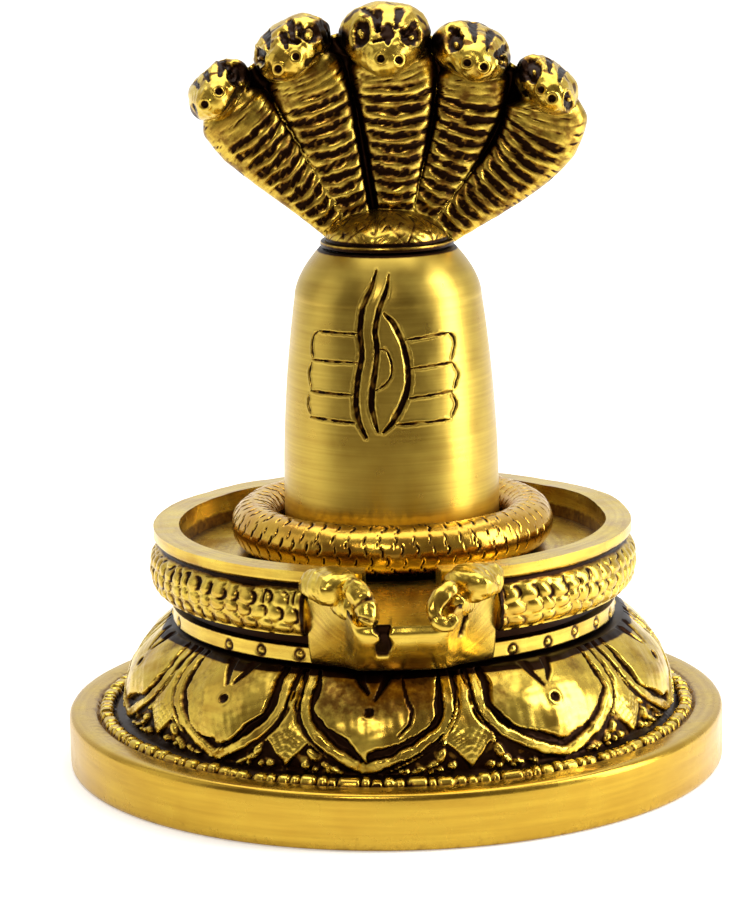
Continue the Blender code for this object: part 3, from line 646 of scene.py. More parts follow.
# %% Carve the dome
def carve_dome(turn, rows):
    """The dome's points and lacquer. Each petal is carved as two halves, since its sides differ in width."""
    heights, climbs = dome_rows(rows)
    offset, half, number = petal_places(turn)
    height = np.repeat(heights[:, None], len(turn), axis=1)
    up = np.repeat(climbs[:, None], len(turn), axis=1)
    radius = dome_radius(height)
    relief = np.zeros(height.shape)
    lacquer = np.zeros(height.shape)
    groups = sorted({(int(n), bool(o > 0.0)) for n, o in zip(number, offset)})
    for petal, right in groups:
        mine = (number == petal) & ((offset > 0.0) == right)
        side = np.radians(np.abs(offset[mine])) * radius[:, mine]
        sector = half[mine][0]
        from_edge = np.radians(sector - np.abs(offset[mine])) * radius[:, mine]
        mine_up = up[:, mine]
        seed = petal * 2 + int(right)
        reach_in, high, dark = petal_relief(side, mine_up, sector, height[:, mine], seed)
        high, dark = between_relief(from_edge, mine_up, reach_in, high, dark, seed)
        across = side if right else -side
        high, dark = field_marks(across, mine_up, petal, high, dark)
        # One petal, under the spout, is painted darker towards its top as the spout's shade, and has an
        # extra chisel line on its right
        if petal == SPOUT_SHADED_PETAL:
            overhang_shade = 0.33 * smooth(mine_up, 4.0, 10.5) * smooth(-reach_in, 0.9, 2.2)
            dark = np.maximum(dark, overhang_shade + 0.12 * smooth(-reach_in, 0.9, 1.6))
            line = ((3.9, 13.2), (4.4, 10.9), (4.8, 9.6), (5.4, 8.4), (5.2, 6.6), (3.9, 5.2))
            high, dark = chased_line(across, mine_up, line, 0.38, 0.35, high, dark)
        relief[:, mine] = high
        lacquer[:, mine] = dark

    # Hand-worked unevenness, a dark joint at the dome's foot, and painted shadow under the basin at its top
    base = around(radius, turn, DISC_HEIGHT + LOTUS_HEIGHT * height)
    fade = smooth(height, 0.0, 0.03) * (1.0 - smooth(height, 0.985, 1.0))
    radius = radius + (relief + 0.07 * ripple(base, 4.0, 31) + 0.03 * ripple(base, 1.3, 32)) * fade
    joint_and_shadow = np.maximum(smooth(up, 12.7, 13.3), 1.0 - smooth(up, 0.10, 0.45))
    lacquer = np.maximum(lacquer, joint_and_shadow)
    points = around(radius, turn, DISC_HEIGHT + LOTUS_HEIGHT * height)
    points[..., 0] += LOTUS_SHIFT
    return points, lacquer


# %% Bead ring
# Rows across the ring, as millimetres out from its middle.
BEAD_ROWS = (1.60, 1.40, 1.12, 0.94, 0.80, 0.50, 0.16, -0.16, -0.50, -0.80, -0.96, -1.26, -1.55)


def bead_rows(turn):
    """The milled bead ring, from its outer groove to the dark groove at the dome's foot. The beads are a
    little uneven, and the groove below the spout is painted darker as shade from the spout above it."""
    draw = np.random.default_rng(5)
    angle = np.radians(turn)
    warp = 0.16 * (np.sin(23.0 * angle + 1.0) + np.sin(37.0 * angle + 2.0) + np.sin(58.0 * angle))
    place_on = (turn + 180.0) / 360.0 * BEADS + warp
    bead = np.floor(place_on).astype(int) % BEADS
    within = place_on % 1.0 - 0.5
    size = 1.0 + draw.uniform(-0.10, 0.10, BEADS)[bead]
    tall = 1.0 + draw.uniform(-0.25, 0.05, BEADS)[bead]
    shift = draw.uniform(-0.10, 0.10, BEADS)[bead]
    # Painted shade: the outer groove is darker below the spout, which overhangs it.
    spout_shade = smooth(turn, -20.0, -13.0) * (1.0 - smooth(turn, 2.0, 12.0))
    rows = []
    dark = []
    for off in BEAD_ROWS:
        beside = np.abs(within) / (0.49 * size) * (1.0 + 0.16 * abs(off))
        spread = (np.abs(off - shift) / 0.94) ** 4.0 + beside ** 6.0
        top = np.clip(1.0 - spread, 0.0, 1.0) ** 0.5
        base = DISC_HEIGHT - 0.05 - 0.45 * float(smooth(1.45 - abs(off), 0.0, 0.35))
        rows.append(around(BEAD_RADIUS + off, turn, base + 1.10 * top * tall))
        gap = 1.0 - smooth(top, 0.10, 0.60)
        if off > 1.5:
            gap = 0.25 + 0.45 * spout_shade
        elif off > 0.9:
            gap = 0.38 + 0.57 * spout_shade
        dark.append(gap + 0.0 * turn)
    return np.array(rows), np.array(dark)


# %% Turned disc
# Inset from the disc's radius, height and darkness, from the underside over the edge and in to the beads:
# darker under the disc, on its lower edge and towards the beads.
DISC_PROFILE = (
    (5.0, 0.0, 0.2), (1.4, 0.0, 0.2), (0.55, 0.03, 0.2), (0.2, 0.16, 0.2), (0.03, 0.45, 0.16),
    (0.0, 0.9, 0.12), (0.0, 2.8, 0.0), (0.0, 4.8, 0.0), (0.0, 6.3, 0.0), (0.07, 6.75, 0.0),
    (0.28, 7.05, 0.02), (0.7, 7.2, 0.08), (1.6, 7.22, 0.1), (2.4, 7.2, 0.14), (3.0, 7.17, 0.18),
)


def disc_rows(turn):
    """The turned disc, from its underside over its edge and in to the bead ring."""
    rows = [around(DISC_RADIUS - inset, turn, z) for inset, z, dark in DISC_PROFILE]
    return np.array(rows), np.array([dark + 0.0 * turn for inset, z, dark in DISC_PROFILE])


# %% Lotus foot in one mesh
def make_lotus():
    """The plain disc needs a quarter of the columns, so one row of wide faces joins it to the beads."""
    coarse = np.arange(LOTUS_COLUMNS // 4) * 4
    turn = np.linspace(-180.0, 180.0, LOTUS_COLUMNS, endpoint=False)
    disc, disc_dark = disc_rows(turn[coarse])
    beads, bead_dark = bead_rows(turn)
    dome, dome_dark = carve_dome(turn, 64)
    upper = np.concatenate([beads, dome])
    lower_index = np.arange(disc.shape[0] * disc.shape[1]).reshape(disc.shape[:2])
    upper_index = np.arange(upper.shape[0] * upper.shape[1]).reshape(upper.shape[:2]) + lower_index.size
    faces = grid_faces(lower_index, (True, False), False) + grid_faces(upper_index, (False, True), False)
    for i in range(len(coarse)):
        low = [int(lower_index[-1][i]), int(lower_index[-1][(i + 1) % len(coarse)])]
        high = [int(upper_index[0][(i * 4 + k) % LOTUS_COLUMNS]) for k in range(4, -1, -1)]
        faces.append(low + high)
    spots = np.vstack([disc.reshape(-1, 3), upper.reshape(-1, 3)])
    dark = np.concatenate([disc_dark.ravel(), bead_dark.ravel(), dome_dark.ravel()])
    return mesh_object("lotus", spots, faces, dark)


lotus = make_lotus()
place(lotus, "lotus_base", antique)

# %% [markdown]
# ## Basin
# The yoni basin is turned: a foot band with a row of ring punches, a dark groove, a full band chased with
# fish scales, and a flat rim. At the front it is pulled out into a spout with a raking face. The whole bowl
# is one grid that runs up its outside, over the rim and down to the floor, and the columns at the front are
# moved out to make the spout, so there is no seam between them.

# %% Basin sizes in millimetres
BASIN_FOOT = 19.1
BASIN_TURN = 1.9
RIM_RADIUS = 31.2
FLOOR = 27.7
LIP = 26.7
SPOUT_REACH = 38.6
SPOUT_FRONT_HALF = 6.3
SPOUT_ROOT_HALF = 11.9
SPOUT_END = math.degrees(math.asin(SPOUT_ROOT_HALF / RIM_RADIUS))

# Radius and height of each corner of the section; a level is a corner's place in this list.
BASIN_PROFILE = (
    (28.7, 19.1), (29.0, 19.4), (29.0, 21.3), (28.2, 21.6), (28.2, 22.9), (30.6, 23.2), (31.4, 24.7),
    (31.6, 26.5), (31.2, 28.6), (30.4, 29.5), (31.2, 30.2), (31.2, 31.5), (27.9, 31.5), (27.6, 27.7),
    (13.2, 27.7),
)
LIP_LEVEL = 7
FLOOR_LEVEL = 13
print("spout spans", round(2.0 * SPOUT_END, 1), "degrees of the rim")


# %% Fish-scale band
def scale_relief(reach, up, points):
    """Hand-chased fish scales: uneven round lumps set close, each with a ragged dark cut round one side."""
    pitch = 2.25
    row_height = 1.62
    reach = reach + 0.34 * ripple(points, 4.6, 42)
    up = up + 0.26 * ripple(points, 4.0, 43)
    row = np.floor(up / row_height)
    relief = np.zeros(reach.shape)
    lacquer = np.zeros(reach.shape)

    # Nine nearest scales: each is a lump with a cut round one side
    for step in (-1.0, 0.0, 1.0):
        this_row = row + step
        start = reach / pitch + 0.5 * (this_row % 2.0) + 0.15 * np.sin(this_row * 4.1)
        for nudge in (-1.0, 0.0, 1.0):
            cell = np.floor(start) + nudge
            wild = np.sin(cell * 12.9 + this_row * 78.2)
            other = np.sin(cell * 37.7 + this_row * 19.3)
            u = (start - cell - 0.5 + 0.17 * wild) * pitch
            v = up - (this_row + 0.5 + 0.20 * other) * row_height
            turned = 0.5 * np.sin(cell * 5.3 + this_row * 31.7)
            across = u * np.cos(turned) + v * np.sin(turned)
            along = v * np.cos(turned) - u * np.sin(turned)
            size = 1.0 + 0.14 * other
            away = np.hypot(across / 1.05, along / 0.92) / size
            strength = np.clip(0.72 + 0.50 * wild * other + 0.25 * other, 0.15, 1.1)
            cut = np.exp(-((away - 0.92) / (0.15 + 0.06 * wild)) ** 2) * smooth(across, 0.0, 0.45)
            lump = 0.30 * np.clip(1.0 - away ** 2, 0.0, 1.0) ** 0.7
            relief = np.maximum(relief, lump)
            lacquer = np.maximum(lacquer, cut * strength * smooth(1.05 - np.abs(along), 0.0, 0.5))

    # Short chops along the band's upper edge
    chop_pitch = 4.3
    nearest = np.round(reach / chop_pitch)
    chop = np.abs(reach / chop_pitch - nearest) * chop_pitch
    chop = (1.0 - smooth(chop, 0.10, 0.24)) * smooth(up, 3.4, 4.1) * (np.sin(nearest * 7.7) > 0.2)
    lacquer = np.maximum(lacquer, 0.9 * chop)
    return relief - 0.22 * lacquer, np.maximum(lacquer, 0.10)


# %% Ring punches, grooves and the band on the basin's outside
# Degrees from the front where the ring punch was struck; behind, they carry on at even steps.
PUNCH_TURNS = [-46.0, -35.0, -24.0, -13.0, 30.5, 41.5, 52.0, 63.0] + [74.0 + 11.2 * i for i in range(20)]
print("ring punches:", len(PUNCH_TURNS))


def basin_relief(level, reach, turn, z, points):
    """Relief and lacquer of the turned part of the basin."""
    relief = 0.0 * reach
    lacquer = 0.0 * reach
    wave = 0.20 * ripple(points, 7.0, 41) + 0.08 * ripple(points, 1.5, 44)

    # Ring punches on the foot band
    for spot in PUNCH_TURNS:
        away = (turn - spot + 180.0) % 360.0 - 180.0
        gap = np.hypot(np.radians(away) * 29.0, z - 20.2 - 0.15 * math.sin(spot))
        ring = np.exp(-((gap - 0.62) / 0.20) ** 2)
        relief = relief - 0.20 * ring + 0.14 * np.exp(-(gap / 0.40) ** 2)
        lacquer = np.maximum(lacquer, 0.75 * ring)

    # Black groove above the foot band, and the dark joint to the lotus
    low_edge = 22.75 + wave
    groove = smooth(z, 21.2, 21.4) * (1.0 - smooth(z, low_edge, low_edge + 0.35))
    lacquer = np.maximum(lacquer, groove * (level < LIP_LEVEL))
    lacquer = np.maximum(lacquer, 0.9 * (1.0 - smooth(z, 19.25, 19.55)) * (level < 2.0))

    # Fish scales on the full band, and the black seam under the rim
    on_band = smooth(z, 23.2, 23.6) * (1.0 - smooth(z, 28.7, 29.0)) * (level > 4.5) * (level < 9.0)
    scales, cuts = scale_relief(reach, z - 23.4, points)
    relief = relief + on_band * scales
    lacquer = np.maximum(lacquer, on_band * cuts)
    seam = np.exp(-((z - 29.45 + 0.7 * wave) / (0.42 + 0.5 * np.abs(wave))) ** 2)
    lacquer = np.maximum(lacquer, seam * (level > 7.5) * (level < 10.5))

    # Thin tarnish on the rim and the inner wall
    rim = smooth(level, 10.6, 11.0)
    lacquer = np.maximum(lacquer, rim * (0.06 + 0.4 * wave))
    inner_wall = smooth(level, 12.0, 12.5)
    lacquer = np.maximum(lacquer, inner_wall * (0.05 + 0.5 * wave))
    return relief, lacquer


# %% Columns and rows of the basin's grid
def basin_turns():
    """Angles of the columns, close together over the spout."""
    near = np.concatenate([np.linspace(0.0, 8.0, 28)[:-1], np.linspace(8.0, 9.2, 5)[:-1],
                           np.linspace(9.2, SPOUT_END - 0.15, 32)])
    far = np.linspace(SPOUT_END + 0.15, 180.0, 335)[:-1]
    half = np.concatenate([near, far])
    return np.concatenate([-half[1:][::-1], half, [180.0]])


def basin_levels():
    """Rows of the grid, close together where the relief is."""
    spans = ((0, 1, 2), (1, 2, 11), (2, 3, 2), (3, 4, 4), (4, 5, 3), (5, 6, 8), (6, 7, 10), (7, 8, 12),
             (8, 9, 6), (9, 10, 5), (10, 11, 5), (11, 12, 7), (12, 13, 6), (13, 14, 8))
    levels = [np.linspace(start, end, count, endpoint=False) for start, end, count in spans]
    return np.concatenate(levels + [[14.0]])


# %% Spout
def spout_edge(turn):
    """Plan radius of the spout's lip, with softened corners."""
    back = SPOUT_REACH - math.sqrt(RIM_RADIUS ** 2 - SPOUT_ROOT_HALF ** 2)
    across = SPOUT_ROOT_HALF - SPOUT_FRONT_HALF
    soft = 0.0
    for nudge in (-1.2, -0.6, 0.0, 0.6, 1.2):
        angle = np.radians(np.abs(turn + nudge))
        front = SPOUT_REACH / np.cos(angle)
        flank = SPOUT_REACH * across + SPOUT_FRONT_HALF * back
        flank = flank / (np.cos(angle) * across + np.sin(angle) * back)
        soft = soft + np.minimum(front, flank) / 5.0
    return soft


def spout_top(x):
    """Height of the spout's edge: low at the lip and higher on the cheeks under the scrolls."""
    return LIP + 2.2 * smooth(np.abs(x + 0.4), 5.3, 7.0)


def spout_face(turn, share):
    """Radius, height and lacquer of the spout's face: two cheeks and a lip that stands out between them."""
    edge = spout_edge(turn)
    radius = mix(29.0, edge, share ** 0.42)
    x = radius * np.sin(np.radians(turn))
    z = mix(BASIN_FOOT, spout_top(x), share)

    # A crease on each side parts the standing lip from the cheeks
    valley = np.exp(-((np.abs(x + 0.4) - 6.6) / 0.9) ** 2)
    lip = 0.65 * smooth(5.9 - np.abs(x + 0.4), 0.0, 2.2) * np.sin(math.pi * share ** 1.7)
    rounded = 0.50 * smooth(share, 0.80, 1.0) ** 2 * smooth(6.2 - np.abs(x + 0.4), 0.0, 0.8)

    # A ragged slot in the lip and a nick in the right cheek, as the photo shows them
    flat = np.stack([x, z, 0.0 * x], axis=-1)
    ragged = 0.25 * ripple(flat, 1.4, 47)
    slot = smooth(1.0 - np.abs(x + 2.55 + 0.3 * ragged) + ragged, 0.0, 0.3) * smooth(z, 22.3, 23.0)
    nick = smooth(0.42 - np.abs(x - 7.0 - 0.25 * (z - 25.0)) + 0.4 * ragged, 0.0, 0.3)
    hollow = np.maximum(slot, nick * smooth(z, 24.3, 24.9))

    # Lacquer in the hollows, in the joint under the scrolls and at the foot, and painted brown shade in the
    # creases
    seam = smooth(share, 0.92, 0.98) * smooth(np.abs(x), 6.0, 7.0)
    lacquer = np.maximum(hollow, 0.20 * valley + 0.04)
    lacquer = np.maximum(np.maximum(lacquer, 0.85 * seam), 1.0 - smooth(share, 0.0, 0.06))
    radius = radius + lip - rounded - 0.30 * valley * smooth(share, 0.1, 0.4) - 0.8 * hollow - 0.2 * seam
    return radius + 0.05 * ripple(flat, 4.0, 49), z, lacquer


# %% Basin bowl
def make_basin_bowl():
    """The bowl with its spout. Columns at the front swap the turned outside for the spout's face, and the
    rim for the channel's floor."""
    turn = basin_turns()[None, :]
    level = basin_levels()[:, None]

    # Turned bowl: the section run round the axis, with its relief
    profile = np.array(BASIN_PROFILE)
    radius = np.interp(level, range(len(profile)), profile[:, 0]) + 0.0 * turn
    z = np.interp(level, range(len(profile)), profile[:, 1]) + 0.0 * turn
    on_band = (level > 5.0) & (level < 9.0)
    band_share = np.clip((z - 23.2) / 6.0, 0.0, 1.0) * 2.0 - 1.0
    radius = np.where(on_band, 31.55 - 1.1 * np.abs(band_share) ** 2.6, radius)
    reach = np.radians(turn) * 30.0 + 0.0 * level
    base = around(radius, turn, z)
    relief, lacquer = basin_relief(level + 0.0 * turn, reach, turn + BASIN_TURN + 0.0 * level, z, base)
    hand = 0.09 * ripple(base, 11.0, 45) + 0.015 * ripple(base, 2.5, 46)
    top = smooth(level, 9.5, 10.5) * (1.0 - smooth(level, 12.3, 13.0))
    radius = radius + relief + hand * (0.5 + 0.5 * top)
    z = z + top * hand * smooth(level, 10.5, 11.0)

    # The spout's face and the channel take over in the front columns
    face_share = np.clip(level / LIP_LEVEL, 0.0, 1.0) + 0.0 * turn
    face_radius, face_z, face_lacquer = spout_face(turn + 0.0 * level, face_share)
    lip_radius = spout_face(turn, np.ones(turn.shape))[0]
    on_spout = np.abs(turn) <= SPOUT_END
    on_face = on_spout & (level <= LIP_LEVEL)
    in_channel = on_spout & (level > LIP_LEVEL) & (np.abs(turn) <= 8.6) & (level < FLOOR_LEVEL)
    back_share = np.clip((level - LIP_LEVEL) / (FLOOR_LEVEL - LIP_LEVEL), 0.0, 1.0)
    channel_radius = mix(lip_radius - 0.25, 27.6, back_share)
    channel_z = mix(LIP, FLOOR, back_share ** 0.8)
    radius = np.where(on_face, face_radius, np.where(in_channel, channel_radius, radius))
    z = np.where(on_face, face_z, np.where(in_channel, channel_z, z))

    # Metal behind the cheeks, under the scrolls
    behind_cheek = on_spout & (level > LIP_LEVEL) & ~in_channel & (level < 10.0)
    z = np.where(behind_cheek, np.maximum(z, spout_top(radius * np.sin(np.radians(turn)))), z)
    channel_shade = 0.02 + 0.08 * smooth(back_share, 0.25, 0.7)
    lacquer = np.where(on_face, face_lacquer, np.where(in_channel, channel_shade, lacquer))
    lacquer = np.where(behind_cheek, 0.60, lacquer)

    # Black lines where the band meets the spout and in the floor's corner, and painted shadow on the floor
    # under the coil
    ends = np.exp(-((np.abs(turn) - SPOUT_END - 0.5) / 0.55) ** 2)
    ends = ends * (z > 22.9) * (z < 29.5) * (level < 10.0)
    lacquer = np.maximum(lacquer, np.where(on_face, 0.0, ends))
    corner = np.exp(-((radius - 27.75) / 0.5) ** 2) * (level > 12.6) * (np.abs(turn) > 9.0)
    lacquer = np.maximum(lacquer, 0.5 * corner)
    lacquer = np.maximum(lacquer, (level > 13.3) * smooth(19.4 - radius, 0.0, 0.8) * 0.9)
    return grid_object("bowl", around(radius, turn + 0.0 * level, z), lacquer)


# %% [markdown]
# ## Scrolls
# Two scrolls finish the rim beside the channel. Each is a round boss with a cheek below it and a smaller
# curl that rolls forward and down to the lip; the right one closes into a ring. They were filed by hand, so
# they are lumpy and a little uneven. A tube of changing thickness along a bent line gives each of the three,
# and joining them to the bowl makes one casting.


# %% Lumpy tube
def sweep(stations, sides, lobes, seed, level=False, squash=1.0):
    """A lumpy tapering tube through stations (x, y, z, radius), rounded at both ends, and its lacquer.
    A level one keeps its section upright, and squash is its height over its width."""
    stations = np.array(stations, float)
    steps = np.linspace(0.0, 1.0, 56)
    places = np.linspace(0.0, 1.0, len(stations))
    path = np.stack([np.interp(steps, places, stations[:, k]) for k in range(4)], axis=-1)
    kernel = np.ones(9) / 9.0
    padded = np.vstack([np.repeat(path[:1], 4, axis=0), path, np.repeat(path[-1:], 4, axis=0)])
    path = np.stack([np.convolve(padded[:, k], kernel, mode="valid") for k in range(4)], axis=-1)
    along = np.gradient(path[:, :3], axis=0)
    along /= np.linalg.norm(along, axis=1, keepdims=True)
    across = np.cross(along, (0.0, 0.0, 1.0) if level else (0.2, -0.9, 0.4))
    across /= np.linalg.norm(across, axis=1, keepdims=True)
    up = np.cross(across, along)
    ends = np.clip(np.minimum(steps, 1.0 - steps) / 0.24, 0.0, 1.0)
    radius = path[:, 3] * (1.0 - (1.0 - np.maximum(ends, 0.02)) ** 2.6) ** 0.45
    angle = np.linspace(0.0, 2.0 * math.pi, sides, endpoint=False)
    waist = (0.5 - 0.5 * np.cos(2.0 * math.pi * lobes * steps))[:, None]
    spin = np.stack(np.broadcast_arrays(np.cos(angle)[None, :] * 2.0, np.sin(angle)[None, :] * 2.0,
                                        steps[:, None] * 8.0), axis=-1)
    lump = 1.0 + 0.06 * ripple(spin, 3.0, seed) + 0.035 * ripple(spin, 0.9, seed + 2) - 0.12 * waist ** 6
    wide = np.sign(np.cos(angle)) * np.abs(np.cos(angle)) ** 0.85
    tall = np.sign(np.sin(angle)) * np.abs(np.sin(angle)) ** 0.85 * squash
    offset = across[:, None, :] * wide[None, :, None] + up[:, None, :] * tall[None, :, None]
    points = path[:, None, :3] + offset * (radius[:, None] * lump)[..., None]
    lacquer = 0.04 + 0.50 * waist ** 8 * (0.7 + 0.6 * ripple(spin, 1.6, seed + 1))
    return points, lacquer


# %% Scrolls beside the channel
# Stations of each tube: x, y, z and radius in millimetres, for the viewer's right.
BOSS = ((10.6, -28.8, 30.3, 2.6), (9.3, -31.2, 30.6, 3.2), (8.1, -33.6, 30.5, 3.2), (7.0, -35.4, 30.3, 2.7))
CHEEK = ((7.8, -32.6, 28.6, 1.6), (6.5, -34.8, 28.6, 1.8), (5.6, -36.6, 28.4, 1.5))
LEFT_CURL = (
    (6.9, -34.8, 31.2, 1.3), (5.7, -36.2, 30.8, 1.5), (4.7, -37.2, 29.4, 1.45), (4.3, -38.0, 27.8, 1.35),
    (4.8, -38.3, 26.9, 1.2),
)
RIGHT_CURL = (
    (6.6, -35.4, 30.9, 1.2), (4.7, -36.7, 30.3, 1.2), (3.4, -37.8, 28.6, 1.1), (4.1, -38.4, 26.9, 1.0),
    (5.5, -38.5, 26.9, 0.95), (5.9, -38.1, 28.3, 0.85),
)


def make_scroll(side):
    """Boss, cheek and curl of one side: 1 for the viewer's right and -1 for the left."""
    curl = RIGHT_CURL if side > 0.0 else LEFT_CURL
    pieces = []
    for name, stations, sides, lobes, level, squash in (
        ("boss", BOSS, 56, 0, True, 0.66),
        ("cheek", CHEEK, 30, 0, True, 1.0),
        ("curl", curl, 40, 3, False, 1.0),
    ):
        points, lacquer = sweep(stations, sides, lobes, 3 + int(side > 0.0) * 10, level, squash)
        points[..., 0] *= side
        if side < 0.0:
            points = points[:, ::-1]
            lacquer = lacquer[:, ::-1]
        pieces.append(grid_object(name, points, lacquer))
    return pieces


# %% Basin in one mesh
def make_basin():
    """The spout points a little to the viewer's right, so the finished casting is turned."""
    parts = [make_basin_bowl()] + make_scroll(-1.0) + make_scroll(1.0)
    made = fused("basin", parts)
    made.data.transform(Matrix.Rotation(math.radians(BASIN_TURN), 4, "Z"))
    return made


basin = make_basin()
place(basin, "yoni_basin", antique)

# %% [markdown]
# ## Coiled ring
# A solid ring lies round the lingam as the serpent's coil. Its scales are short curved chisel marks,
# one row beside the other, all opening the same way round the ring. A torus with the cuts pressed into its
# grid keeps each one a real hollow, and small random shifts make them look struck by hand.

# %% Coil ring
COIL_RADIUS = 17.85
COIL_TUBE = 3.25
COIL_FOOT = 28.0
CUTS_ROUND = 62.0
CUT_ROWS = 13.0


def make_coil():
    turn = np.linspace(-180.0, 180.0, 1100, endpoint=False)[None, :]
    angle = np.linspace(0.0, 360.0, 64, endpoint=False)[:, None]
    reach = np.radians(turn) * COIL_RADIUS + 0.0 * angle
    girth = np.radians(angle) * COIL_TUBE + 0.0 * turn
    base = around(COIL_RADIUS + COIL_TUBE * np.cos(np.radians(angle)), turn,
                  COIL_TUBE * np.sin(np.radians(angle)) + 0.0 * turn)
    pitch = math.radians(360.0 / CUTS_ROUND) * COIL_RADIUS
    row_height = math.radians(360.0 / CUT_ROWS) * COIL_TUBE
    cut = 0.0 * reach
    swell = 0.0 * reach
    row = np.floor(girth / row_height)

    # Nine nearest cuts: each is a short bent line, and the scale beside it swells
    for step in (-1.0, 0.0, 1.0):
        this_row = (row + step) % CUT_ROWS
        start = reach / pitch + 0.5 * (this_row % 2.0)
        for nudge in (-1.0, 0.0, 1.0):
            cell = (np.floor(start) + nudge) % CUTS_ROUND
            wild = np.sin(cell * 12.9 + this_row * 41.7)
            other = np.sin(cell * 31.3 + this_row * 17.1)
            third = np.sin(cell * 71.9 + this_row * 57.3)
            u = (start - np.floor(start) - nudge - 0.5 + 0.20 * wild) * pitch
            v = girth - (row + step + 0.5 + 0.26 * other) * row_height
            bend = u + (0.34 + 0.22 * third) * (v / 0.8) ** 2 + 0.22 * wild * v - 0.20
            tall = smooth(0.78 + 0.22 * third - np.abs(v), 0.0, 0.30)
            line = np.exp(-(bend / (0.12 + 0.035 * other)) ** 2) * tall
            cut = np.maximum(cut, line * np.clip(0.85 + 0.45 * wild * third, 0.35, 1.1))
            swell = np.maximum(swell, smooth(-bend, 0.0, 0.15) * smooth(0.7 + bend, 0.0, 0.6) * tall)

    # The underside is plain, and flat where it rests on the floor
    relief = 0.05 * swell - 0.22 * cut + 0.05 * ripple(base, 4.0, 53)
    under = smooth(np.cos(np.radians(angle + 105.0)) + 0.0 * turn, 0.55, 0.9)
    radius = COIL_TUBE - 0.08 + relief * (1.0 - under)
    section = np.radians(angle)
    flat = np.clip(radius * np.sin(section), -COIL_TUBE + 0.05, COIL_TUBE)
    points = around(COIL_RADIUS + radius * np.cos(section), turn + 0.0 * angle, COIL_FOOT + COIL_TUBE + flat)
    lacquer = smooth(cut, 0.08, 0.52) * (1.0 - under)
    # Painted shade on the inner side, in the narrow gap round the lingam
    lacquer = np.maximum(lacquer, 0.30 * smooth(-np.cos(section), 0.6, 0.9) + 0.0 * turn)
    return grid_object("coil", points, lacquer, caps=(False, False), wrap_rows=True)


coil = make_coil()
place(coil, "coil_ring", polished)

# %% [markdown]
# ## Lingam
# The shaft is turned and brushed round its axis. The mark on its front is cut with a graver: deep
# strokes with a bright burr beside them and thin bars to each side. A Boolean cut would leave sharp, even
# slots, so the front of the grid is made fine enough to take each stroke as a shaky V groove.

# %% Lingam sizes and strokes
SHAFT_FOOT = 28.0
SHAFT_HEIGHT = 39.3
SHAFT_RADIUS = 14.0
MARK_RADIUS = 13.0
SHOULDER = 6.3

# Corners of each stroke: degrees from the front, and height in millimetres.
BOLD_STROKES = (
    ((-8.1, 65.7), (-10.7, 63.5), (-15.8, 61.4), (-17.4, 58.3), (-15.4, 55.3), (-18.2, 52.1), (-19.2, 49.1),
     (-17.5, 46.9), (-12.6, 44.7)),
    ((0.8, 65.2), (-1.2, 63.2), (-5.5, 61.2), (-8.5, 58.3), (-6.8, 56.1), (-7.4, 54.3), (-9.7, 51.2),
     (-10.3, 48.9), (-8.2, 46.7), (-6.7, 45.5)),
    ((-3.2, 60.6), (3.1, 59.2), (8.0, 56.8), (10.4, 54.2), (10.6, 51.6), (6.9, 49.1), (0.8, 46.6),
     (-4.6, 45.4)),
)
THIN_STROKES = (
    ((-6.8, 56.1), (-1.2, 55.9), (1.5, 54.3), (1.3, 52.8), (-2.0, 51.6), (-8.1, 50.8)),
    ((-44.8, 57.9), (-18.6, 57.9)), ((-47.5, 54.2), (-18.3, 54.3)), ((-48.7, 50.2), (-21.0, 50.2)),
    ((-47.9, 46.9), (-18.6, 46.7)),
    ((-44.8, 57.9), (-49.0, 57.4), (-50.3, 56.2), (-48.3, 54.1)),
    ((-49.1, 53.9), (-51.2, 52.4), (-47.9, 50.3)), ((-50.3, 49.7), (-50.8, 48.4), (-48.0, 47.3)),
    ((9.2, 57.1), (36.6, 57.6)), ((12.0, 53.5), (37.6, 53.8)), ((10.9, 49.8), (36.1, 50.2)),
    ((2.9, 46.5), (35.0, 46.7)),
    ((36.6, 57.6), (40.4, 57.0), (41.0, 56.1), (36.9, 54.0)), ((37.6, 53.8), (42.0, 52.3), (37.6, 50.4)),
    ((35.4, 50.2), (39.0, 48.5), (34.3, 46.7)),
)


print("strokes:", len(BOLD_STROKES), "bold and", len(THIN_STROKES), "thin")


# %% Turned and engraved shaft
def shaft_radius(z):
    """Radius of the plain shaft: nearly straight below, a little narrower above, and a round shoulder."""
    rise = z - SHAFT_FOOT
    body = SHAFT_HEIGHT - SHOULDER
    start = body * 0.2
    straight = SHAFT_RADIUS - 1.9 * np.clip((rise - start) / (body - start), 0.0, 1.0) ** 2
    over = np.clip((rise - body) / SHOULDER, 0.0, 1.0)
    return straight - 3.3 * over ** 1.75


def softened(line):
    """A smooth curve through a stroke's corners."""
    line = np.array(line, float)
    if len(line) < 3:
        return line
    fine = np.linspace(0.0, len(line) - 1.0, len(line) * 5)
    curve = np.stack([np.interp(fine, range(len(line)), line[:, k]) for k in (0, 1)], axis=-1)
    padded = np.vstack([curve[:1], curve[:1], curve, curve[-1:], curve[-1:]])
    return (padded[:-4] + 2.0 * padded[1:-3] + 3.0 * padded[2:-2] + 2.0 * padded[3:-1] + padded[4:]) / 9.0


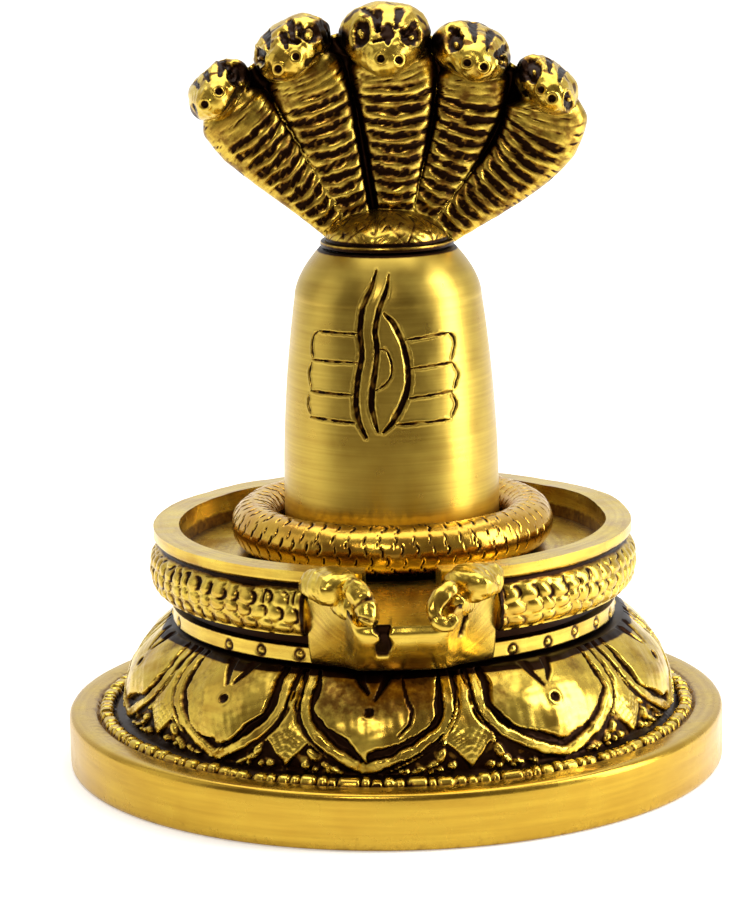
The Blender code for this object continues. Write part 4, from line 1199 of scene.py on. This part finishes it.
def make_shaft():
    """Columns stand close on the front, where the mark is, and rows close between its top and foot."""
    front = np.linspace(-56.0, 48.0, 310)
    rest = np.linspace(48.0, 304.0, 90)[1:-1]
    turn = np.concatenate([front, rest])[None, :]
    body = np.concatenate([[28.0, 28.15, 28.4], np.arange(29.0, 43.6, 0.9), np.arange(44.0, 66.6, 0.115)])
    shoulder = np.concatenate([body, [66.7, 66.85, 67.0, 67.12, 67.22, 67.3]])
    z = shoulder[:, None]
    radius = shaft_radius(z) + 0.0 * turn
    base = around(radius, turn, z + 0.0 * turn)
    reach = np.radians(turn) * MARK_RADIUS + 0.0 * z
    shake = 0.05 * ripple(base, 2.2, 51) + 0.05 * ripple(base, 0.7, 56)
    fill = 0.66 + 0.36 * ripple(base, 1.4, 55)
    relief = 0.0 * radius
    lacquer = 0.0 * radius
    burr = 0.0 * radius

    # Each stroke is a shaky groove with lacquer in it and a burr beside it
    for strokes, width, depth in ((BOLD_STROKES, 0.60, 0.42), (THIN_STROKES, 0.24, 0.20)):
        for stroke in strokes:
            line = softened(stroke) * (math.radians(1.0) * MARK_RADIUS, 1.0)
            gap, along = line_distance(reach, z + 0.0 * turn, line)
            ends = 0.40 + 0.60 * np.clip(np.minimum(along, 1.0 - along) / 0.14, 0.0, 1.0)
            here = np.maximum(width * ends + shake, 0.07)
            groove = 1.0 - smooth(gap, 0.0, here)
            relief = np.minimum(relief, -depth * groove)
            lacquer = np.maximum(lacquer, smooth(groove, 0.15, 0.60) * fill)
            burr = np.maximum(burr, 0.055 * np.exp(-((gap - here - 0.06) / 0.10) ** 2))
    radius = radius + relief + burr * (1.0 - lacquer)

    # Tarnish at the foot, and lacquer on top under the cap
    foot = 1.0 - smooth(z, 28.0, 31.0)
    lacquer = np.maximum(lacquer, 0.30 * foot * (0.6 + 0.5 * ripple(base, 5.0, 52)))
    collar = smooth(z, 66.9, 67.15) + 0.0 * turn
    lacquer = np.maximum(lacquer, 0.8 * collar)
    return grid_object("shaft", around(radius, turn + 0.0 * z, z + 0.0 * turn), lacquer)


shaft = make_shaft()
place(shaft, "lingam_shaft", brushed)

# %% [markdown]
# ## Cobra hood
# Five cobras rise from a small leaf-carved cap and spread like a fan. Their bellies are cut with ribs,
# dark between bright ridges. The heads look at the viewer, with ringed nostrils, round eyes in dark
# sockets and wedge cuts over the brow. Each neck and head is its own tube or ball with relief, and a
# Boolean union melts them into one casting.

# %% Hood sizes in millimetres and degrees
CAP_FOOT = 67.6
COBRAS = (
    {"name": "outer_left", "root": -5.3, "leans": (-37.0, -30.0), "widths": (1.8, 4.9),
     "head": (-21.0, 20.2), "half_width": 4.6, "roll": -42.0, "turn_out": -18.0, "lift": 10.0},
    {"name": "inner_left", "root": -3.1, "leans": (-23.0, -25.0), "widths": (1.8, 5.0),
     "head": (-11.6, 25.4), "half_width": 5.4, "roll": -32.0, "turn_out": -14.0, "lift": 10.0},
    {"name": "middle", "root": 1.5, "leans": (-5.0, -14.0), "widths": (1.9, 5.4),
     "head": (0.2, 27.0), "half_width": 5.9, "roll": 0.0, "turn_out": 1.0, "lift": 0.0},
    {"name": "inner_right", "root": 4.1, "leans": (19.0, -6.0), "widths": (1.7, 4.5),
     "head": (11.1, 24.6), "half_width": 5.3, "roll": 18.0, "turn_out": 10.0, "lift": 12.0},
    {"name": "outer_right", "root": 6.6, "leans": (46.0, -6.0), "widths": (1.9, 5.3),
     "head": (20.7, 19.9), "half_width": 4.7, "roll": 42.0, "turn_out": 13.0, "lift": 14.0},
)
RIB_PITCH = 1.64
FOLD_PITCH = 0.85
print("cobras:", [cobra["name"] for cobra in COBRAS])


# %% Line of a neck
def leaning(degrees):
    """Direction in the fan's plane, at an angle from upright towards the viewer's right."""
    angle = math.radians(degrees)
    return np.array((math.sin(angle), 0.0, math.cos(angle)))


def neck_path(cobra, share):
    """Middle line of a neck, a cubic curve from the cap into the head."""
    share = np.asarray(share, float)[..., None]
    head = cobra["head"]
    leans = cobra["leans"]
    start = np.array((cobra["root"], 0.0, CAP_FOOT + 1.0))
    end = np.array((head[0], 0.0, CAP_FOOT + head[1])) - leaning(leans[1])
    handle = np.linalg.norm(end - start) * 0.33
    lower = start + leaning(leans[0]) * handle
    upper = end - leaning(leans[1]) * handle
    rest = 1.0 - share
    point = start * rest ** 3 + lower * 3.0 * share * rest ** 2
    point = point + upper * 3.0 * rest * share ** 2 + end * share ** 3
    back = 1.1 * np.sin(math.pi * np.clip(share, 0.0, 1.0))
    return point + back * np.array((0.0, 1.0, 0.0))


# %% Ribbed necks
def make_neck(cobra, seed):
    """One neck with its ribs, the folds at its throat, and a plain border on the outer side of the fan."""
    name = cobra["name"]
    widths = cobra["widths"]
    sides = 46
    share = np.linspace(0.0, 1.0, 120)
    path = neck_path(cobra, share)
    along = np.gradient(path, axis=0)
    length = np.concatenate([[0.0], np.cumsum(np.linalg.norm(np.diff(path, axis=0), axis=1))])
    along /= np.linalg.norm(along, axis=1, keepdims=True)
    across = np.cross(along, (0.0, 1.0, 0.0))
    across /= np.linalg.norm(across, axis=1, keepdims=True)
    half = mix(widths[0], widths[1], np.minimum(share / 0.74, 1.0))
    half = half * mix(1.0, 0.66, smooth(share, 0.88, 1.0))
    angle = 2.0 * math.pi * (np.arange(sides) + 0.5) / sides
    side = np.cos(angle)[None, :]
    front = np.sin(angle)[None, :]

    # Ribs sag across the belly and wander a little
    flat = np.stack(np.broadcast_arrays(side * half[:, None], length[:, None], 7.0 * seed), axis=-1)
    sag = 0.9 * (half[:, None] / 4.7) * (1.0 - side ** 2)
    climb = length[:, None] + sag + 0.16 * ripple(flat, 3.2, seed) + 0.08 * ripple(flat, 1.3, seed + 1)
    to_ridge = np.abs(climb / RIB_PITCH - np.round(climb / RIB_PITCH))
    to_ridge = to_ridge + 0.10 * ripple(flat, 1.5, seed + 2) - 0.20 * smooth(np.abs(side), 0.55, 0.92)
    ridge = 1.0 - smooth(to_ridge, 0.17, 0.26)
    belly = smooth(front, -0.05, 0.30) + 0.0 * half[:, None]

    # The ribs end at the throat and at the fan's outer border, where fine folds start
    throat = smooth(share, 0.76, 0.80)[:, None]
    outer = {"outer_left": 1.0, "outer_right": -1.0}.get(name, 0.0)
    border = smooth(side * outer, 0.62, 0.86)
    ribs = belly * (1.0 - throat) * (1.0 - border)
    folds = np.abs(climb / FOLD_PITCH - np.round(climb / FOLD_PITCH))
    fold_cut = (1.0 - smooth(folds, 0.04, 0.20)) * np.maximum(throat, border) * belly
    fold_cut = fold_cut * (0.55 + 0.6 * ripple(flat, 2.0, seed + 3))
    relief = ribs * (0.26 * ridge - 0.24) - 0.16 * fold_cut + 0.05 * ripple(flat, 1.5, seed + 4)

    # A flat oval section, pushed out by the relief
    depth = np.where(front > 0.0, 0.62, 0.60)
    sideways = across[:, None, :] * (side * (half[:, None] + relief * 0.5))[..., None]
    outwards = np.zeros(sideways.shape)
    outwards[..., 1] = -np.sign(front) * np.abs(front) ** 0.85 * (half[:, None] * depth + relief)
    points = path[:, None, :] + sideways + outwards

    # Lacquer between the ribs and in the folds, and painted shade down the sides that face another neck
    edge = smooth(np.abs(side), 0.78, 0.92) * smooth(0.68 - front, 0.0, 0.3) * (side * outer < 0.3)
    lacquer = ribs * (1.0 - ridge) * (0.74 + 0.30 * ripple(flat, 0.8, seed + 5))
    tone = 0.24 + 0.16 * ripple(flat, 2.5, seed + 6)
    lacquer = np.maximum(np.maximum(lacquer, tone), 0.9 * edge * (1.0 - 0.4 * throat))
    lacquer = np.maximum(lacquer, 0.78 * fold_cut)
    return grid_object("neck_" + name, points, lacquer)


# %% Marks on each face
# Places are millimetres as the camera sees them on the fan's middle plane. Eyes are x, z, half width, half
# height, lean, the bead's shift in x and z, and its size. Cuts are a line with its widths at both ends.
# A leaf is x, z, half width and half height.
HEAD_MARKS = {
    "outer_left": {
        "eyes": (
            (-18.9, 89.7, 0.95, 1.25, 15.0, -0.3, 0.3, 0.25),
        ),
        "nostrils": ((-21.1, 87.5), (-22.8, 86.0)),
        "cuts": (
            (((-22.9, 90.5), (-22.4, 89.1)), 0.48, 0.15),
            (((-20.6, 91.3), (-20.9, 89.6)), 0.50, 0.20),
            (((-20.4, 91.0), (-19.6, 90.7), (-19.2, 89.5)), 0.25, 0.45),
            (((-24.1, 88.9), (-23.7, 88.1)), 0.35, 0.15),
            (((-18.4, 87.7), (-19.3, 86.2), (-20.6, 84.5)), 0.60, 0.45),
            (((-24.4, 85.9), (-23.8, 84.6)), 0.22, 0.22),
        ),
    },
    "inner_left": {
        "eyes": (
            (-9.4, 94.6, 1.10, 1.05, 0.0, 0.0, 0.1, 0.60),
            (-15.6, 91.9, 0.60, 1.00, -10.0, -0.1, -0.2, 0.28),
        ),
        "nostrils": ((-11.2, 91.8), (-13.3, 90.4)),
        "cuts": (
            (((-14.8, 94.9), (-14.7, 93.1)), 0.48, 0.18),
            (((-11.7, 95.9), (-11.5, 94.2), (-10.7, 93.7)), 0.46, 0.20),
            (((-12.7, 94.6), (-12.3, 92.8)), 0.52, 0.15),
            (((-12.7, 94.3), (-11.9, 93.9), (-11.0, 93.5)), 0.45, 0.25),
            (((-10.5, 95.7), (-10.7, 94.4)), 0.30, 0.15),
            (((-9.5, 90.9), (-8.7, 91.3), (-8.1, 92.0)), 0.52, 0.42),
            (((-13.8, 88.9), (-12.0, 88.5), (-10.7, 89.4), (-9.8, 90.1)), 0.30, 0.25),
            (((-7.7, 95.9), (-7.1, 94.1)), 0.50, 0.60),
        ),
    },
    "middle": {
        "eyes": (
            (-2.85, 94.4, 0.95, 1.50, 18.0, -0.1, 0.2, 0.46),
            (3.5, 94.1, 1.10, 1.05, -25.0, 0.2, -0.1, 0.30),
        ),
        "nostrils": ((-0.3, 91.4), (1.8, 91.2)),
        "cuts": (
            (((-2.4, 97.5), (-1.1, 96.7), (-0.7, 95.0)), 0.30, 0.24),
            (((-0.5, 97.2), (-0.65, 95.0)), 0.42, 0.20),
            (((2.1, 97.3), (1.65, 95.2)), 0.50, 0.22),
            (((-1.2, 93.6), (0.0, 93.8)), 0.24, 0.16),
            (((2.4, 94.7), (3.2, 94.5)), 0.30, 0.34),
            (((3.9, 95.6), (3.4, 94.8)), 0.42, 0.42),
            (((-2.3, 89.8), (-1.0, 88.7), (0.5, 88.4), (1.9, 88.7), (2.9, 89.7)), 0.20, 0.20),
        ),
        "leaf": (0.6, 94.6, 0.85, 1.50),
    },
    "inner_right": {
        "eyes": (
            (9.1, 93.3, 0.95, 1.20, 0.0, 0.1, -0.3, 0.36),
            (15.0, 90.7, 0.50, 0.62, 0.0, 0.05, -0.1, 0.24),
        ),
        "nostrils": ((10.7, 90.6), (12.6, 90.1)),
        "cuts": (
            (((11.4, 95.4), (11.7, 93.4)), 0.62, 0.14),
            (((13.6, 94.2), (13.2, 92.2)), 0.52, 0.12),
            (((14.4, 91.5), (15.4, 92.4)), 0.40, 0.40),
            (((8.6, 94.9), (9.6, 94.5)), 0.30, 0.20),
            (((8.4, 90.3), (9.2, 89.0), (10.3, 88.1), (12.0, 87.6)), 0.40, 0.26),
        ),
    },
    "outer_right": {
        "eyes": (
            (18.9, 89.5, 1.00, 1.40, 0.0, 0.2, -0.2, 0.26),
            (23.4, 85.5, 0.60, 1.05, -10.0, 0.1, 0.2, 0.22),
        ),
        "nostrils": ((20.0, 87.0), (21.3, 85.9)),
        "cuts": (
            (((21.0, 91.1), (21.1, 89.3)), 0.48, 0.14),
            (((22.7, 89.5), (22.3, 88.0)), 0.52, 0.14),
            (((17.9, 86.5), (18.6, 85.1), (19.6, 84.3)), 0.50, 0.36),
            (((16.7, 90.1), (17.8, 88.6)), 0.60, 0.60),
        ),
    },
}
print("cuts on the five faces:", sum(len(marks["cuts"]) for marks in HEAD_MARKS.values()))


# %% Lay the marks on a head
def head_marks(marks, points, normals):
    """Eyes, nostrils, brow cuts and mouth of one head, laid on as they show from the camera."""
    nearness = CAMERA_DISTANCE / (CAMERA_DISTANCE + points[..., 1] * MM)
    x = points[..., 0] * nearness
    z = CAMERA_HEIGHT / MM + (points[..., 2] - CAMERA_HEIGHT / MM) * nearness
    facing = smooth(-normals[..., 1] + 0.2 * normals[..., 2], 0.02, 0.22)
    rough = 0.12 * ripple(points, 1.1, 80)
    relief = 0.0 * x
    lacquer = 0.0 * x

    # Eyes: a dark socket with a bright bead in it and a raised rim round it
    for eye_x, eye_z, half_width, half_height, lean, bead_x, bead_z, bead in marks["eyes"]:
        tilt = math.radians(lean)
        u = (x - eye_x) * math.cos(tilt) - (z - eye_z) * math.sin(tilt)
        v = (z - eye_z) * math.cos(tilt) + (x - eye_x) * math.sin(tilt)
        socket = np.hypot(u / half_width, v / half_height)
        hollow = (1.0 - smooth(socket + rough, 0.98, 1.20)) * facing
        ball = np.hypot(x - eye_x - bead_x, (z - eye_z - bead_z) / 1.4) / bead
        lit = 1.0 - smooth(ball, 0.70, 1.05)
        rim = np.exp(-((socket - 1.38) / 0.15) ** 2) * facing
        relief = relief - 0.45 * hollow + 0.50 * hollow * lit + 0.14 * rim
        lacquer = np.maximum(lacquer, hollow * (1.0 - lit))

    # Nostrils: a small pit with a raised ring, and no old lacquer near them
    clear = np.ones(x.shape)
    for nose_x, nose_z in marks["nostrils"]:
        pit = np.hypot(x - nose_x, z - nose_z)
        clear = clear * smooth(pit, 1.5, 2.6)
        relief = relief - 0.40 * (1.0 - smooth(pit, 0.15, 0.50)) * facing
        relief = relief + 0.11 * np.exp(-((pit - 0.70) / 0.16) ** 2) * facing
        lacquer = np.maximum(lacquer, 0.85 * (1.0 - smooth(pit, 0.36, 0.58)) * facing)
    lacquer = np.maximum(lacquer, 0.55 * smooth(ripple(points, 1.7, 81), 0.40, 0.90) * clear)

    # Wedge cuts and the line of the mouth
    for line, start_width, end_width in marks["cuts"]:
        gap, along = line_distance(x, z, line)
        width = mix(start_width, end_width, along)
        cut = (1.0 - smooth(gap + 0.6 * rough, width * 0.8, width * 1.15 + 0.06)) * facing
        relief = relief - 0.32 * cut
        lacquer = np.maximum(lacquer, cut)

    # Leaf cut in the brow
    if "leaf" in marks:
        leaf_x, leaf_z, half_width, half_height = marks["leaf"]
        away = np.abs(x - leaf_x) / half_width + np.abs(z - leaf_z) / half_height
        leaf = (1.0 - smooth(away + rough, 0.95, 1.25)) * facing
        relief = relief - 0.28 * leaf
        lacquer = np.maximum(lacquer, leaf)
    return relief, lacquer


# %% Heads
# The middle head is modelled full size, and the others are smaller copies of its form.
FULL_HEAD = 5.9


def head_turn(cobra):
    """The head's own axes: x across, y towards the snout, z over the crown."""
    rolled = Matrix.Rotation(math.radians(cobra["roll"]), 4, "Y")
    turned = Matrix.Rotation(math.radians(cobra["turn_out"]), 4, "Z")
    lifted = Matrix.Rotation(math.radians(cobra["lift"]), 4, "X")
    return np.array((turned @ rolled @ Matrix.Rotation(math.pi, 4, "Z") @ lifted).to_3x3())


def make_head(cobra, seed):
    """A flattened ball that narrows to a snout, with brows, cheeks and muzzle, and then its marks."""
    name = cobra["name"]
    head = cobra["head"]
    size = cobra["half_width"] / FULL_HEAD

    # Flattened ball that narrows to a snout
    stations = np.sin(np.concatenate([np.linspace(-1.42, -0.35, 16)[:-1], np.linspace(-0.35, 1.5, 78)]))
    angle = np.linspace(0.0, 2.0 * math.pi, 108, endpoint=False)[None, :]
    section = np.sqrt(1.0 - stations ** 2)[:, None]
    snout = smooth(stations, 0.05, 0.95)[:, None]
    x = FULL_HEAD * section * (1.0 - 0.25 * snout) * np.cos(angle)
    y = 4.8 * stations[:, None] + 2.7 * snout + 0.0 * angle
    z = FULL_HEAD * 0.68 * section * (1.0 + 0.10 * snout) * np.sin(angle) - 2.4 * snout

    # Brows, cheeks and muzzle
    brow = np.exp(-((np.abs(x) - 3.0) / 1.4) ** 2 - ((z - 2.2) / 1.1) ** 2) * smooth(y, -1.5, 1.5)
    cheek = np.exp(-((np.abs(x) - 3.8) / 1.3) ** 2 - ((z + 2.4) / 1.3) ** 2) * smooth(y, -1.0, 2.0)
    muzzle = np.exp(-(x / 2.3) ** 4 - ((z + 2.6) / 1.7) ** 4) * smooth(y, 2.0, 5.0)
    form = 0.40 * brow + 0.25 * cheek + 0.40 * muzzle
    local = np.stack([x, y, z], axis=-1)[:, ::-1] * size
    form = form[:, ::-1]

    # Turned to its place in the fan
    matrix = head_turn(cobra)
    centre = np.array((head[0], 0.0, CAP_FOOT + head[1]))
    points = local @ matrix.T + centre
    normals = grid_normals(points)
    from_core = points - centre - matrix @ np.array((0.0, 0.5, -0.6))
    normals = normals * np.sign(np.median(np.sum(normals * from_core, axis=-1)))
    relief, lacquer = head_marks(HEAD_MARKS[name], points, normals)
    relief = relief + form * size + 0.09 * ripple(points, 2.4, seed) + 0.04 * ripple(points, 1.0, seed + 1)

    # Lacquer in the crease behind the face and on the sides of the cheeks
    behind = 0.70 * np.exp(-((local[..., 1] + 1.5) / 0.8) ** 2)
    cheeks = smooth(np.abs(local[..., 0]) / size, 3.9, 5.3) * smooth(1.5 - local[..., 2] / size, 0.0, 1.5)
    behind = np.maximum(behind, 0.80 * cheeks)
    lacquer = np.maximum(lacquer, np.maximum(behind, 0.02 + 0.20 * ripple(points, 2.0, seed + 2)))
    return grid_object("head_" + name, points + normals * relief[..., None], lacquer)


# %% Leaf-carved cap
CAP_LEDGE = 68.35
CAP_RISE = 3.85


def make_cap():
    """A flange and a low dome, with six leaves whose spines, edges and veins are chased lines."""
    turn = np.linspace(-180.0, 180.0, 240, endpoint=False)[None, :]
    flange = [(8.55, CAP_FOOT), (8.6, 67.75), (8.6, 68.15), (8.45, 68.3), (8.05, CAP_LEDGE)]
    rise = np.radians(np.linspace(0.0, 80.0, 34))
    dome = [(8.0 * math.cos(a), CAP_LEDGE + CAP_RISE * math.sin(a)) for a in rise]
    profile = np.array(flange + dome)
    radius = profile[:, 0][:, None] + 0.0 * turn
    z = profile[:, 1][:, None] + 0.0 * turn
    base = around(radius, turn, z)

    # Six leaves: a spine, two edges that meet at the top, and veins
    share = np.clip((z - CAP_LEDGE) / CAP_RISE, 0.0, 1.0) + 0.04 * ripple(base, 2.0, 57)
    leaf = ((turn + 12.0) / 60.0 + 0.5) % 1.0 - 0.5
    spine = np.exp(-(leaf / 0.022) ** 2) + 0.0 * share
    outline = 0.50 * np.clip(1.0 - np.clip(share, 0.0, 1.0) ** 1.3, 0.0, 1.0)
    edge = np.exp(-((np.abs(leaf) - outline) / 0.035) ** 2)
    veins = 0.5 + 0.5 * np.cos(2.0 * math.pi * (share * 3.2 - np.abs(leaf) * 4.5))
    between = smooth(np.abs(leaf) - outline, 0.0, 0.06)
    cut = np.maximum(np.maximum(spine, edge), smooth(veins, 0.78, 0.98) * 0.8)
    cut = np.maximum(cut * (0.52 + 0.35 * ripple(base, 1.5, 58)), between * 0.30)

    # The cuts stay on the dome, and the ledge below it is dark
    on_dome = smooth(z, 68.45, 68.75)
    radius = radius - 0.26 * cut * on_dome
    ledge = smooth(z, 68.1, 68.3) * (1.0 - smooth(z, 68.5, 68.9))
    lacquer = np.maximum(cut * on_dome, np.maximum(ledge, 0.85 * (z < 67.9)))
    return grid_object("cap", around(radius, turn + 0.0 * z, z), lacquer)


# %% Metal between the necks, painted black as their shade
SHADE_WEB_FRONT = 0.3


def make_shade_web():
    """A thin sheet behind the necks, with a soft rim, painted nearly black as the shade between them."""
    shares = (0.1, 0.3, 0.5, 0.75)
    left = neck_path(COBRAS[0], shares)
    right = neck_path(COBRAS[-1], shares[::-1])
    heads = [cobra["head"] for cobra in COBRAS]
    outline = [(point[0], point[2]) for point in left]
    for before, after in zip(heads, heads[1:]):
        outline.append((before[0], CAP_FOOT + before[1]))
        outline.append(((before[0] + after[0]) / 2.0, CAP_FOOT + (before[1] + after[1]) / 2.0 + 0.8))
    outline.append((heads[-1][0], CAP_FOOT + heads[-1][1]))
    outline += [(point[0], point[2]) for point in right]
    outline = np.array(outline)
    middle = outline.mean(axis=0)
    rows = []
    for y, inset in ((SHADE_WEB_FRONT, 0.35), (0.6, 0.0), (1.8, 0.0), (2.1, 0.35)):
        shrunk = middle + (outline - middle) * (1.0 - inset / 12.0)
        rows.append(np.stack([shrunk[:, 0], np.full(len(outline), y), shrunk[:, 1]], axis=-1))
    points = np.array(rows)[:, ::-1]
    return grid_object("web", points, np.full(points.shape[:2], 0.95))


# %% Hood in one mesh
def make_hood():
    """All necks and heads joined, with the sheet between them painted black as the shade between the necks.
    """
    parts = [make_cap(), make_shade_web()]
    for seed, cobra in enumerate(COBRAS):
        parts.append(make_neck(cobra, 60 + 10 * seed))
        parts.append(make_head(cobra, 170 + 10 * seed))
    made = fused("hood", parts)
    points = np.zeros(len(made.data.vertices) * 3, np.float32)
    made.data.vertices.foreach_get("co", points)
    on_shade_web = np.abs(points[1::3] / MM - SHADE_WEB_FRONT) < 0.03
    layer = made.data.attributes["recess"]
    dark = np.zeros(len(made.data.vertices), np.float32)
    layer.data.foreach_get("value", dark)
    layer.data.foreach_set("value", np.where(on_shade_web, 1.0, dark).astype(np.float32))
    return made


hood = make_hood()
place(hood, "cobra_hood", antique)
